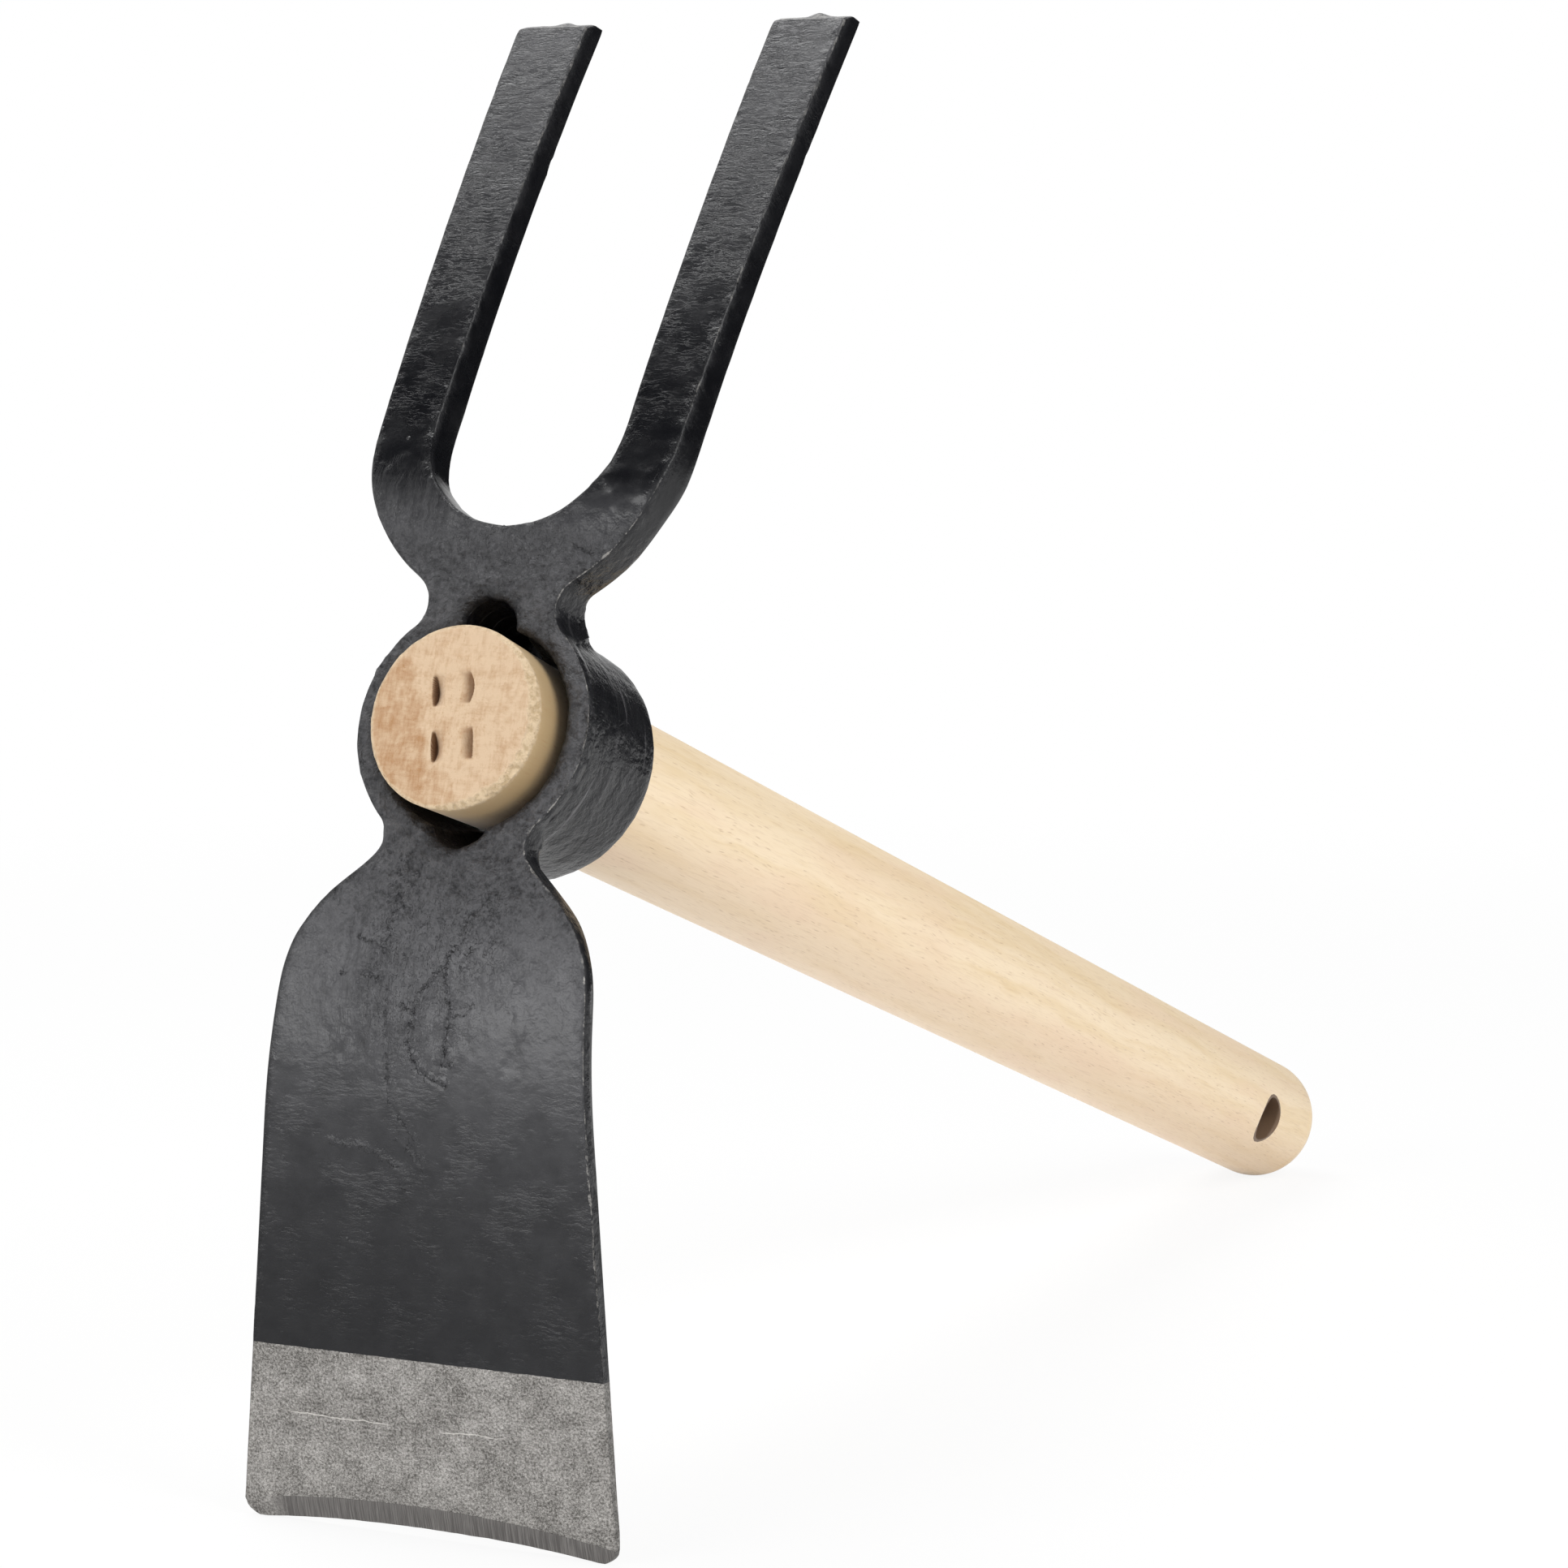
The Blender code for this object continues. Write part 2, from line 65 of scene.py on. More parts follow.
class Ray(Enum):
    """Rays that see the white studio as it looks, rather than as it lights."""

    CAMERA = "Is Camera Ray"
    GLOSSY = "Is Glossy Ray"
    TRANSMISSION = "Is Transmission Ray"


class Piece(Enum):
    """The pieces of the tool, by the names of their nodes."""

    HEAD = "head"
    HANDLE = "handle"


def ramp(value: Array, low: float, high: float) -> Array:
    """Smoothstep: 0 at low, 1 at high, with no slope at either end. Low may be the larger of the two.

    Args:
        value: The numbers to map.
        low: Where the result is 0.
        high: Where the result is 1.

    Returns:
        An array like value, between 0 and 1.
    """
    part = np.clip((value - low) / (high - low), 0, 1)
    return part * part * (3 - 2 * part)


def hill(value: Array, middle: float, width: float) -> Array:
    """A bell curve, exp(-((value - middle) / width) squared)."""
    return np.exp(-(((value - middle) / width) ** 2))


def noise(points: Array, size: float, seed: int) -> Array:
    """Value noise: a hashed height at each corner of a lattice, blended over each cell by smoothstep.

    Args:
        points: Places, one row each, with three columns.
        size: Width of a lattice cell, in the units of points.
        seed: Picks one of many patterns.

    Returns:
        One height for each point, between -1 and 1.
    """
    cells = points / size
    base = np.floor(cells)
    part = ramp(cells - base, 0, 1)
    base = base.astype(np.int64) + 4096
    total = np.zeros(len(points))
    for corner in np.ndindex(2, 2, 2):
        place = (base + corner).astype(np.uint64)
        key = place @ np.array((73856093, 19349663, 83492791), dtype=np.uint64) + np.uint64(seed * 2654435761)
        key = (key ^ (key >> np.uint64(15))) * np.uint64(2246822519)
        key = (key ^ (key >> np.uint64(13))) & np.uint64(0xFFFF)
        weight = np.prod(np.where(corner, part, 1 - part), axis=1)
        total += weight * (key.astype(float) / 0x7FFF - 1)
    return total


def layered_noise(points: Array, size: float, seed: int, layers: int) -> Array:
    """Sum of noises, each half as wide and half as high as the one before."""
    return sum(noise(points, size / 2**layer, seed + layer) / 2**layer for layer in range(layers))


@dataclass(frozen=True)
class Stance:
    """How the tool stands in the frame: where its sawn end is, in millimetres, and which way its handle runs."""

    origin: Array
    handle_axis: Array

    @classmethod
    def from_record(cls, record: dict) -> "Stance":
        """Reads the stance off the sawn end's mount, whose axis points out of the handle.

        Args:
            record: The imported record.

        Returns:
            The stance.
        """
        mount = next(mount for mount in record["mounts"] if mount["name"] == "sawn_end")
        origin = np.array(mount["pos_m"]) / MM
        origin[0] = 0
        return cls(origin, -np.array(mount["axis"]))

    @property
    def turn(self) -> Array:
        """The tool's X, Y and Z axes in the frame, one row each."""
        across = np.array((1.0, 0.0, 0.0))
        return np.array((across, self.handle_axis, np.cross(across, self.handle_axis)))

    def to_tool(self, points: Array) -> Array:
        """Carries frame points in metres to tool points in millimetres."""
        return (points / MM - self.origin) @ self.turn.T

    def to_frame(self, points: Array) -> Array:
        """Carries tool points in millimetres to frame points in metres."""
        return (points @ self.turn + self.origin) * MM


@dataclass
class Surface:
    """A closed triangle mesh in the tool's frame, in millimetres."""

    points: Array
    faces: Array

    @classmethod
    def copy_of(cls, node: bpy.types.Object, stance: Stance, weld: float = 0.02) -> "Surface":
        """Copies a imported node's loose triangles and welds their corners.

        Args:
            node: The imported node.
            stance: Where the tool stands.
            weld: Corners closer than about this, in millimetres, become one.

        Returns:
            The welded surface.
        """
        mesh = node.data
        mesh.calc_loop_triangles()
        points = np.empty(len(mesh.vertices) * 3)
        faces = np.empty(len(mesh.loop_triangles) * 3, dtype=np.int64)
        mesh.vertices.foreach_get("co", points)
        mesh.loop_triangles.foreach_get("vertices", faces)
        points = points.reshape(-1, 3)
        cells = np.round(points / (weld * MM)).astype(np.int64)
        _, first, same = np.unique(cells, axis=0, return_index=True, return_inverse=True)
        faces = same.reshape(-1)[faces].reshape(-1, 3)
        whole = (faces != np.roll(faces, 1, axis=1)).all(axis=1)
        return cls(stance.to_tool(points[first]), faces[whole])

    def edges(self) -> tuple[Array, Array]:
        """Every edge once.

        Returns:
            The edges' ends, two columns, and for each face the numbers of its three edges.
        """
        ends = np.sort(self.faces[:, [0, 1, 1, 2, 2, 0]].reshape(-1, 2), axis=1)
        keys, sides = np.unique(ends[:, 0] * len(self.points) + ends[:, 1], return_inverse=True)
        return np.column_stack(np.divmod(keys, len(self.points))), sides.reshape(-1, 3)

    def split(self, size_at: Callable[[Array], Array], coarsest: int) -> None:
        """Halves the edges that are longer than wanted, dividing their faces with them, and evens the faces out.

        The longest edges go first: those over 2 to the power of coarsest times the size wanted, then over half that.

        Args:
            size_at: Gives the longest edge wanted at each of some points.
            coarsest: How many times over to start.
        """
        for times in (*2.0 ** np.arange(coarsest, -1, -1), 1.0):
            pairs, sides = self.edges()
            ends = self.points[pairs]
            middle = ends.mean(axis=1)
            long = np.linalg.norm(ends[:, 1] - ends[:, 0], axis=1) > times * size_at(middle)
            fresh = np.full(len(pairs), -1)
            fresh[long] = len(self.points) + np.arange(long.sum())
            self.points = np.vstack((self.points, middle[long]))
            self.faces = self._divided(fresh[sides])
            self.even_out(8)

    def even_out(self, rounds: int, flat: float = math.radians(1)) -> None:
        """Turns edges between flat pairs of faces to the other diagonal where the angles facing them exceed 180 degrees.

        In each round every face offers its worst edge, and an edge is turned where both its faces offer it.

        Args:
            rounds: How often to go over all the edges.
            flat: The most that two faces may lean to each other, in radians.
        """
        for _ in range(rounds):
            pairs, sides = self.edges()
            first, second = np.argsort(sides.reshape(-1), kind="stable").reshape(-1, 2).T
            corners = self.faces.reshape(-1)
            a, b, c, d = (
                corners[first],
                corners[first - first % 3 + (first + 1) % 3],
                corners[first - first % 3 + (first + 2) % 3],
                corners[second - second % 3 + (second + 2) % 3],
            )
            worth = self._facing(c, a, b) + self._facing(d, a, b) - math.pi
            normals = self.face_normals()
            normals /= np.maximum(np.linalg.norm(normals, axis=1, keepdims=True), 1e-12)
            level = np.einsum("ij,ij->i", normals[first // 3], normals[second // 3]) > math.cos(flat)
            keys = np.minimum(c, d) * len(self.points) + np.maximum(c, d)
            known = np.isin(keys, pairs[:, 0] * len(self.points) + pairs[:, 1])
            worth = np.where(level & ~known, worth, 0.0)
            best = sides[np.arange(len(sides)), np.argmax(worth[sides], axis=1)]
            number = np.arange(len(pairs))
            turned = (worth > 0.02) & (best[first // 3] == number) & (best[second // 3] == number)
            _, once = np.unique(keys[turned], return_index=True)
            turned = number[turned][once]
            if not len(turned):
                return
            a, b, c, d = (part[turned] for part in (a, b, c, d))
            self.faces[first[turned] // 3] = np.column_stack((a, d, c))
            self.faces[second[turned] // 3] = np.column_stack((d, b, c))

    def _facing(self, corner: Array, left: Array, right: Array) -> Array:
        """The angle at a corner between the ways to two other points."""
        to_left = self.points[left] - self.points[corner]
        to_right = self.points[right] - self.points[corner]
        sine = np.linalg.norm(np.cross(to_left, to_right), axis=1)
        return np.arctan2(sine, np.einsum("ij,ij->i", to_left, to_right))

    def _divided(self, middles: Array) -> Array:
        """Divides each face at the middles of its split edges: one cut in two, two in three, three in four.

        Args:
            middles: For each face, the point on each of its edges, or -1 where that edge isn't split.

        Returns:
            The new faces.
        """
        cut = middles >= 0
        count = cut.sum(axis=1)
        result = [self.faces[count == 0]]

        def rolled(chosen: Array, first: Array) -> tuple[Array, Array]:
            order = (first[:, None] + np.arange(3)) % 3
            corners = np.take_along_axis(self.faces[chosen], order, axis=1)
            return corners.T, np.take_along_axis(middles[chosen], order, axis=1).T

        one = count == 1
        (a, b, c), (ab, _, _) = rolled(one, np.argmax(cut[one], axis=1))
        result += [np.column_stack((a, ab, c)), np.column_stack((ab, b, c))]

        two = count == 2
        (a, b, c), (ab, bc, _) = rolled(two, (np.argmin(cut[two], axis=1) + 1) % 3)
        span = np.linalg.norm(self.points[a] - self.points[bc], axis=1)
        other = np.linalg.norm(self.points[ab] - self.points[c], axis=1)
        near = span <= other
        result += [
            np.column_stack((ab, b, bc)),
            np.column_stack((a, ab, np.where(near, bc, c))),
            np.column_stack((np.where(near, a, ab), bc, c)),
        ]

        (a, b, c), (ab, bc, ca) = rolled(count == 3, np.zeros((count == 3).sum(), dtype=int))
        result += [np.column_stack(corners) for corners in ((a, ab, ca), (ab, b, bc), (ca, bc, c), (ab, bc, ca))]
        return np.vstack(result)

    def face_normals(self) -> Array:
        """Cross products of two sides of each face: normals as long as twice the face's area."""
        a, b, c = (self.points[self.faces[:, corner]] for corner in range(3))
        return np.cross(b - a, c - a)

    def normals(self) -> Array:
        """Unit normals at the points: the area-weighted mean of the faces around each."""
        faces = np.repeat(self.face_normals(), 3, axis=0)
        owners = self.faces.reshape(-1)
        total = np.column_stack([np.bincount(owners, faces[:, axis], len(self.points)) for axis in range(3)])
        return total / np.linalg.norm(total, axis=1, keepdims=True)

    def creases(self, pairs: Array, sides: Array, angle: float) -> Array:
        """Finds the edges whose two faces meet at more than an angle.

        Args:
            pairs: The edges' ends.
            sides: The edges of each face.
            angle: The least turn of a crease, in radians.

        Returns:
            True for each edge that is a crease.
        """
        normals = self.face_normals()
        normals /= np.maximum(np.linalg.norm(normals, axis=1, keepdims=True), 1e-12)
        order = np.argsort(sides.reshape(-1), kind="stable")
        left, right = (order // 3).reshape(-1, 2).T
        return np.einsum("ij,ij->i", normals[left], normals[right]) < math.cos(angle)

    def ease(self, rounds: int, angle: float, free: Callable[[Array], Array] | None = None) -> None:
        """Evens out facets by Taubin smoothing: points go to the mean of their neighbours and part of the way back.

        Points on a crease follow the crease only, and points where creases meet stay.

        Args:
            rounds: How many times to go there and back.
            angle: The least turn of a crease, in radians.
            free: Says, for points, which have their creases smoothed away as well.
        """
        pairs, sides = self.edges()
        sharp = self.creases(pairs, sides, angle)
        if free is not None:
            sharp &= ~free(self.points[pairs].mean(axis=1))
        lines = np.bincount(pairs[sharp].reshape(-1), minlength=len(self.points))
        own = np.concatenate((pairs[:, 0], pairs[:, 1]))
        near = np.concatenate((pairs[:, 1], pairs[:, 0]))
        weight = np.where(lines[own] == 0, 1.0, np.where(lines[own] == 2, np.tile(sharp, 2), 0.0))
        total = np.bincount(own, weight, len(self.points))
        moving = total > 0
        for step in (0.5, -0.53) * rounds:
            mean = np.column_stack(
                [np.bincount(own, weight * self.points[near, axis], len(self.points)) for axis in range(3)]
            )
            self.points[moving] += step * (mean[moving] / total[moving, None] - self.points[moving])

    def into_object(self, name: str, stance: Stance, smooth_angle: float) -> bpy.types.Object:
        """Puts the surface into the scene, in the frame.

        Args:
            name: The piece's name.
            stance: Where the tool stands.
            smooth_angle: Faces that meet at less than this, in radians, are shaded as one.

        Returns:
            The new object, at the origin.
        """
        mesh = bpy.data.meshes.new(name)
        mesh.from_pydata(stance.to_frame(self.points), [], self.faces)
        mesh.shade_smooth()
        mesh.set_sharp_from_angle(angle=smooth_angle)
        thing = bpy.data.objects.new(name, mesh)
        bpy.context.scene.collection.objects.link(thing)
        return thing


def paint_points(thing: bpy.types.Object, name: str, values: Array) -> None:
    """Stores numbers or vectors on an object's points, for its material to read.

    Args:
        thing: The object.
        name: What the material calls them.
        values: One number, or one row of three, for each point.
    """
    kind, field_name = ("FLOAT", "value") if values.ndim == 1 else ("FLOAT_VECTOR", "vector")
    layer = thing.data.attributes.new(name, kind, "POINT")
    layer.data.foreach_set(field_name, np.ascontiguousarray(values, dtype=np.float32).reshape(-1))


class NodeSheet:
    """The node tree of one material, with a short method for each kind of node that the finishes use."""

    def __init__(self, name: str) -> None:
        """Makes a material with one Principled shader."""
        self.material = bpy.data.materials.new(name)
        self.material.use_nodes = True
        self.tree = self.material.node_tree
        self.shader = self.tree.nodes["Principled BSDF"]

    def feed(self, socket: Socket, value: Socket | float | tuple) -> None:
        """Links a socket to another, or sets it to a constant."""
        if isinstance(value, bpy.types.NodeSocket):
            self.tree.links.new(value, socket)
        else:
            socket.default_value = value

    def tool_place(self, stance: Stance) -> Socket:
        """Object coordinates carried to the tool's frame, in millimetres."""
        mapping = self.tree.nodes.new("ShaderNodeMapping")
        turn = Matrix(stance.turn.tolist())
        mapping.inputs["Scale"].default_value = (1 / MM,) * 3
        mapping.inputs["Rotation"].default_value = turn.to_euler()
        mapping.inputs["Location"].default_value = -(stance.turn @ stance.origin)
        coordinates = self.tree.nodes.new("ShaderNodeTexCoord")
        self.feed(mapping.inputs["Vector"], coordinates.outputs["Object"])
        return mapping.outputs["Vector"]

    def stored(self, name: str, output: str = "Fac") -> Socket:
        """Numbers, or with output Vector the vectors, that paint_points stored."""
        node = self.tree.nodes.new("ShaderNodeAttribute")
        node.attribute_name = name
        return node.outputs[output]

    def parts(self, vector: Socket) -> tuple[Socket, Socket, Socket]:
        """The three parts of a vector."""
        node = self.tree.nodes.new("ShaderNodeSeparateXYZ")
        self.feed(node.inputs[0], vector)
        return tuple(node.outputs)

    def stretched(self, vector: Socket, sizes: tuple[float, float, float]) -> Socket:
        """A place divided by a size along each axis, for patterns that are longer one way than another."""
        node = self.tree.nodes.new("ShaderNodeVectorMath")
        node.operation = "DIVIDE"
        self.feed(node.inputs[0], vector)
        node.inputs[1].default_value = sizes
        return node.outputs[0]

    def math(self, operation: str, first: Socket | float, second: Socket | float = 0.0, limit: bool = False) -> Socket:
        """One sum, product or the like."""
        node = self.tree.nodes.new("ShaderNodeMath")
        node.operation = operation
        node.use_clamp = limit
        self.feed(node.inputs[0], first)
        self.feed(node.inputs[1], second)
        return node.outputs[0]

    def product(self, first: Socket, *others: Socket | float) -> Socket:
        """All the factors multiplied."""
        for other in others:
            first = self.math("MULTIPLY", first, other)
        return first

    def total(self, first: Socket, *others: Socket | float) -> Socket:
        """All the terms added."""
        for other in others:
            first = self.math("ADD", first, other)
        return first

    def span(self, value: Socket, low: float, high: float, to: Point = (0.0, 1.0)) -> Socket:
        """Smoothstep of a value between low and high, carried to a range of its own.

        Args:
            value: What is mapped.
            low: Where the result is the first of the range.
            high: Where the result is the second of the range.
            to: The range of the result.

        Returns:
            The mapped value.
        """
        node = self.tree.nodes.new("ShaderNodeMapRange")
        node.interpolation_type = "SMOOTHSTEP"
        flip = low > high
        low, high, to = (high, low, to[::-1]) if flip else (low, high, to)
        for socket, number in zip(node.inputs, (value, low, high, *to)):
            self.feed(socket, number)
        return node.outputs[0]

    def cloud(self, place: Socket, size: float, detail: float = 2.0, rough: float = 0.5) -> Socket:
        """Noise about 0.5, with features of about a size in the units of its place."""
        node = self.tree.nodes.new("ShaderNodeTexNoise")
        self.feed(node.inputs["Vector"], place)
        node.inputs["Scale"].default_value = 1 / size
        node.inputs["Detail"].default_value = detail
        node.inputs["Roughness"].default_value = rough
        return node.outputs[0]

    def cells(self, place: Socket, size: float) -> tuple[Socket, Socket]:
        """Scattered points: the distance to the nearest, in cells, and a random number that goes with it."""
        node = self.tree.nodes.new("ShaderNodeTexVoronoi")
        self.feed(node.inputs["Vector"], place)
        node.inputs["Scale"].default_value = 1 / size
        picked = self.parts(node.outputs["Color"])[0]
        return node.outputs["Distance"], picked

    def mix(self, amount: Socket, first: Socket | Colour, second: Socket | Colour, blend: str = "MIX") -> Socket:
        """Two colours mixed by an amount."""
        node = self.tree.nodes.new("ShaderNodeMix")
        node.data_type = "RGBA"
        node.blend_type = blend
        node.clamp_factor = True
        for socket, value in zip((node.inputs[0], node.inputs[6], node.inputs[7]), (amount, first, second)):
            self.feed(socket, (*value, 1.0) if isinstance(value, tuple) else value)
        return node.outputs[2]

    def blend(self, amount: Socket, first: Socket | float, second: Socket | float) -> Socket:
        """Two numbers mixed by an amount."""
        node = self.tree.nodes.new("ShaderNodeMix")
        for socket, value in zip((node.inputs[0], node.inputs[2], node.inputs[3]), (amount, first, second)):
            self.feed(socket, value)
        return node.outputs[0]

    def warped(self, place: Socket, size: float, amount: float) -> Socket:
        """A place pushed about by noise, by up to about half an amount each way."""
        noise_node = self.tree.nodes.new("ShaderNodeTexNoise")
        self.feed(noise_node.inputs["Vector"], place)
        noise_node.inputs["Scale"].default_value = 1 / size
        push = self.tree.nodes.new("ShaderNodeVectorMath")
        push.operation = "MULTIPLY_ADD"
        self.feed(push.inputs[0], noise_node.outputs["Color"])
        push.inputs[1].default_value = (amount,) * 3
        self.feed(push.inputs[2], place)
        return push.outputs[0]

    def relief(self, height: Socket) -> Socket:
        """A normal bent by a height in millimetres."""
        node = self.tree.nodes.new("ShaderNodeBump")
        node.inputs["Distance"].default_value = MM
        self.feed(node.inputs["Height"], height)
        return node.outputs[0]


@dataclass(frozen=True)
class Blank:
    """The head's flat blank: how its front face bends, in millimetres along it from the handle's axis."""

    front: float = 6.1
    blade_reach: float = 131.9
    blade_bend_start: float = 36.5
    blade_bend_radius: float = 84.0
    blade_lean: float = math.radians(19)
    fork_reach: float = 137.0
    fork_bend_start: float = 35.5
    fork_bend_radius: float = 30.0
    fork_lean: float = math.radians(15.2)
    tine_sweep_radius: float = 800.0

    def lean(self, along: Array) -> Array:
        """The front face's lean: each bend turns it evenly to its full lean, and the tines sweep on slightly."""
        blade = np.clip((-along - self.blade_bend_start) / self.blade_bend_radius, 0, self.blade_lean)
        past = along - self.fork_bend_start
        sweep = np.maximum(past - self.fork_bend_radius * self.fork_lean, 0) / self.tine_sweep_radius
        return np.where(along < 0, blade, np.clip(past / self.fork_bend_radius, 0, self.fork_lean) + sweep)

    def flattened(self, points: Array) -> Array:
        """Unbends points of the head: across from the middle, along the front face, and depth behind it.

        The front face's line is the running sum of (sin lean, cos lean). Each point is first set beside the line at
        its own height, and then slid along it by what its offset has in the line's direction.

        Args:
            points: Tool points.

        Returns:
            Rows of across, along and depth.
        """
        step = 0.1
        line = np.arange(-self.blade_reach - 10, self.fork_reach + 15, step)
        lean = self.lean(line)
        middle = np.argmin(np.abs(line))
        line_y = np.cumsum(np.sign(line) * np.sin(lean)) * step
        line_z = np.cumsum(np.cos(lean)) * step
        line_y += self.front - line_y[middle]
        line_z -= line_z[middle]
        _, y, z = points.T
        along = np.interp(z, line_z, line)
        for _ in range(4):
            sine = np.sign(along) * np.sin(np.interp(along, line, lean))
            cosine = np.sqrt(1 - sine**2)
            off_y = y - np.interp(along, line, line_y)
            off_z = z - np.interp(along, line, line_z)
            along = along + off_y * sine + off_z * cosine
        return np.column_stack((points[:, 0], along, off_y * cosine - off_z * sine))


@dataclass(frozen=True)
class Lap:
    """A line where the steel folded under the hammer: a groove with a lip on its left, or a ridge of negative depth.

    The line's points are (across, along) on the front face, in millimetres.
    """

    line: tuple[Point, ...]
    depth: float
    width: float
    lip: float = 0.0

    def reach(self, flat: Array) -> tuple[Array, Array, Array]:
        """Finds the nearest place on the line.

        Args:
            flat: Rows of across and along.

        Returns:
            The distance to the line, which side of it a point is on (1 on the left), and how far from the line's
            nearer end, all in millimetres but the side.
        """
        corners = np.array(self.line)
        starts, ways = corners[:-1], np.diff(corners, axis=0)
        lengths = np.linalg.norm(ways, axis=1)
        before = np.concatenate(((0,), np.cumsum(lengths)))
        best = np.full(len(flat), np.inf)
        side = np.zeros(len(flat))
        run = np.zeros(len(flat))
        for start, way, length, passed in zip(starts, ways, lengths, before):
            offset = flat - start
            part = np.clip(offset @ way / length**2, 0, 1)
            gap = np.linalg.norm(offset - part[:, None] * way, axis=1)
            closer = gap < best
            turned = way[0] * offset[:, 1] - way[1] * offset[:, 0]
            best = np.where(closer, gap, best)
            side = np.where(closer, np.sign(turned), side)
            run = np.where(closer, passed + part * length, run)
        return best, side, np.minimum(run, before[-1] - run)

    def height(self, flat: Array) -> Array:
        """The groove, exp(-(distance / width) squared) deep, fading at its ends, and its lip, three widths broad."""
        gap, side, run = self.reach(flat)
        fade = 0.2 + 0.8 * ramp(run, 0, 2.5)
        lip = self.lip * hill(gap, 1.2 * self.width, 1.5 * self.width) * (side > 0)
        return fade * (lip - self.depth * hill(gap, 0, self.width))


@dataclass(frozen=True)
class PaintedSteel:
    """Black paint over forged steel, with a blasted, bare band at the cutting edge. Places are along the blank."""

    deep: Colour = (0.0030, 0.0032, 0.0044)
    # Grey of the paint where painted sheen falls, and of its random grey clouds.
    grey_and_sheen: Colour = (0.084, 0.0838, 0.0890)
    # Grey of the painted sheen streaks round the collar.
    collar_sheen_grey: Colour = (0.120, 0.117, 0.122)
    bright_steel: Colour = (0.50, 0.482, 0.460)
    dull_steel: Colour = (0.085, 0.080, 0.074)
    ground_steel: Colour = (0.118, 0.111, 0.107)
    worn_steel: Colour = (0.52, 0.50, 0.47)
    paint_line: float = -102.55
    scratch_line: float = -113.4

    def material(self) -> bpy.types.Material:
        """Builds the finish from what the head's points hold.

        Returns:
            The material.
        """
        sheet = NodeSheet("black_painted_steel")
        shader = sheet.shader
        flat = sheet.stored("layout", "Vector")
        across, along, _ = sheet.parts(flat)
        # Painted light, wear, and painted sheen streaks round the collar, from the head's points.
        painted_light, worn, collar_sheen = sheet.parts(sheet.stored("painted_light_and_wear", "Vector"))
        ripple, granular, striae = sheet.parts(sheet.stored("texture", "Vector"))
        rim = sheet.stored("rim")
        cracks, flakes = self._folds(sheet, flat)

        edge = sheet.total(along, sheet.product(sheet.cloud(flat, 2.5, 3), 0.3))
        bare = sheet.span(edge, self.paint_line + 0.19, self.paint_line + 0.11)
        started = sheet.total(across, sheet.product(sheet.cloud(flat, 1.5, 4, 0.6), 4.0))
        ground = sheet.product(sheet.span(sheet.stored("bevel"), -0.05, 0.05), bare, sheet.span(started, -28.5, -24.0))
        rubbed = sheet.total(sheet.cloud(flat, 3.0, 5, 0.85), sheet.product(rim, -0.8))
        stretches = sheet.span(sheet.cloud(flat, 11.0, 3, 0.6), 0.36, 0.58, (0.35, 0.8))
        chips = sheet.product(sheet.span(rubbed, 0.38, 0.52), worn, stretches)

        painted, relief_light_and_shade = self._paint_relief(sheet, flat, ripple, granular, striae)
        scale, torn = self._scale(sheet, flat, sheet.stored("flaky"))
        lips = sheet.product(flakes, sheet.span(sheet.cloud(flat, 0.9, 3, 0.6), 0.42, 0.60), 0.5)
        # Painted light, with painted highlights on the relief's high spots, painted shade in its dips, and lighter at
        # the flakes' lips.
        painted_light_with_relief = sheet.total(painted_light, sheet.product(relief_light_and_shade, sheet.total(painted_light, 0.10)), sheet.product(lips, painted_light))
        paint = self._paint_colour(sheet, flat, painted_light_with_relief, painted_light, collar_sheen)
        paint = sheet.mix(sheet.math("MAXIMUM", sheet.product(cracks, 0.65), torn), paint, self.deep)
        steel = self._steel_colour(sheet, flat, across, along, ground)
        colour = sheet.mix(chips, sheet.mix(bare, paint, steel), self.worn_steel)
        metal = sheet.math("MAXIMUM", bare, sheet.product(chips, 0.6))
        sheet.feed(shader.inputs["Base Color"], colour)
        sheet.feed(shader.inputs["Metallic"], metal)

        gloss = sheet.span(sheet.cloud(flat, 6.0, 4), 0.3, 0.7, (0.22, 0.31))
        gloss = sheet.total(gloss, sheet.product(granular, 0.03))
        sheet.feed(shader.inputs["Roughness"], sheet.blend(metal, gloss, 0.5))
        shader.inputs["Specular IOR Level"].default_value = 0.26

        painted = sheet.total(painted, scale, sheet.product(cracks, -0.16), sheet.product(flakes, 0.20))
        blasted = self._steel_relief(sheet, flat, ground)
        step = sheet.product(sheet.math("SUBTRACT", 1.0, bare), 0.06)
        height = sheet.total(sheet.blend(bare, painted, blasted), step, sheet.product(chips, -0.03))
        sheet.feed(shader.inputs["Normal"], sheet.relief(height))
        return sheet.material

    def _folds(self, sheet: NodeSheet, flat: Socket) -> tuple[Socket, Socket]:
        """Torn lines along the laps: a hairline crack, jagged and broken, and a flake's step that fades beside it.

        Args:
            sheet: The material's nodes.
            flat: The layout.

        Returns:
            1 in the crack, and 1 at the flake's edge.
        """
        side, gap, strength = sheet.parts(sheet.stored("fold", "Vector"))
        jag = sheet.span(sheet.cloud(flat, 0.95, 5, 0.7), 0.2, 0.8, (-1.0, 1.0))
        off = sheet.total(side, jag)
        broken = sheet.span(sheet.cloud(flat, 1.5, 3, 0.6), 0.45, 0.56)
        hairline = sheet.span(sheet.math("ABSOLUTE", off), 0.17, 0.04)
        cracks = sheet.product(hairline, broken, sheet.span(gap, 1.4, 0.8), strength)
        flakes = sheet.product(sheet.span(off, -0.06, 0.06), sheet.span(gap, 2.4, 0.1), broken, strength)
        return cracks, flakes

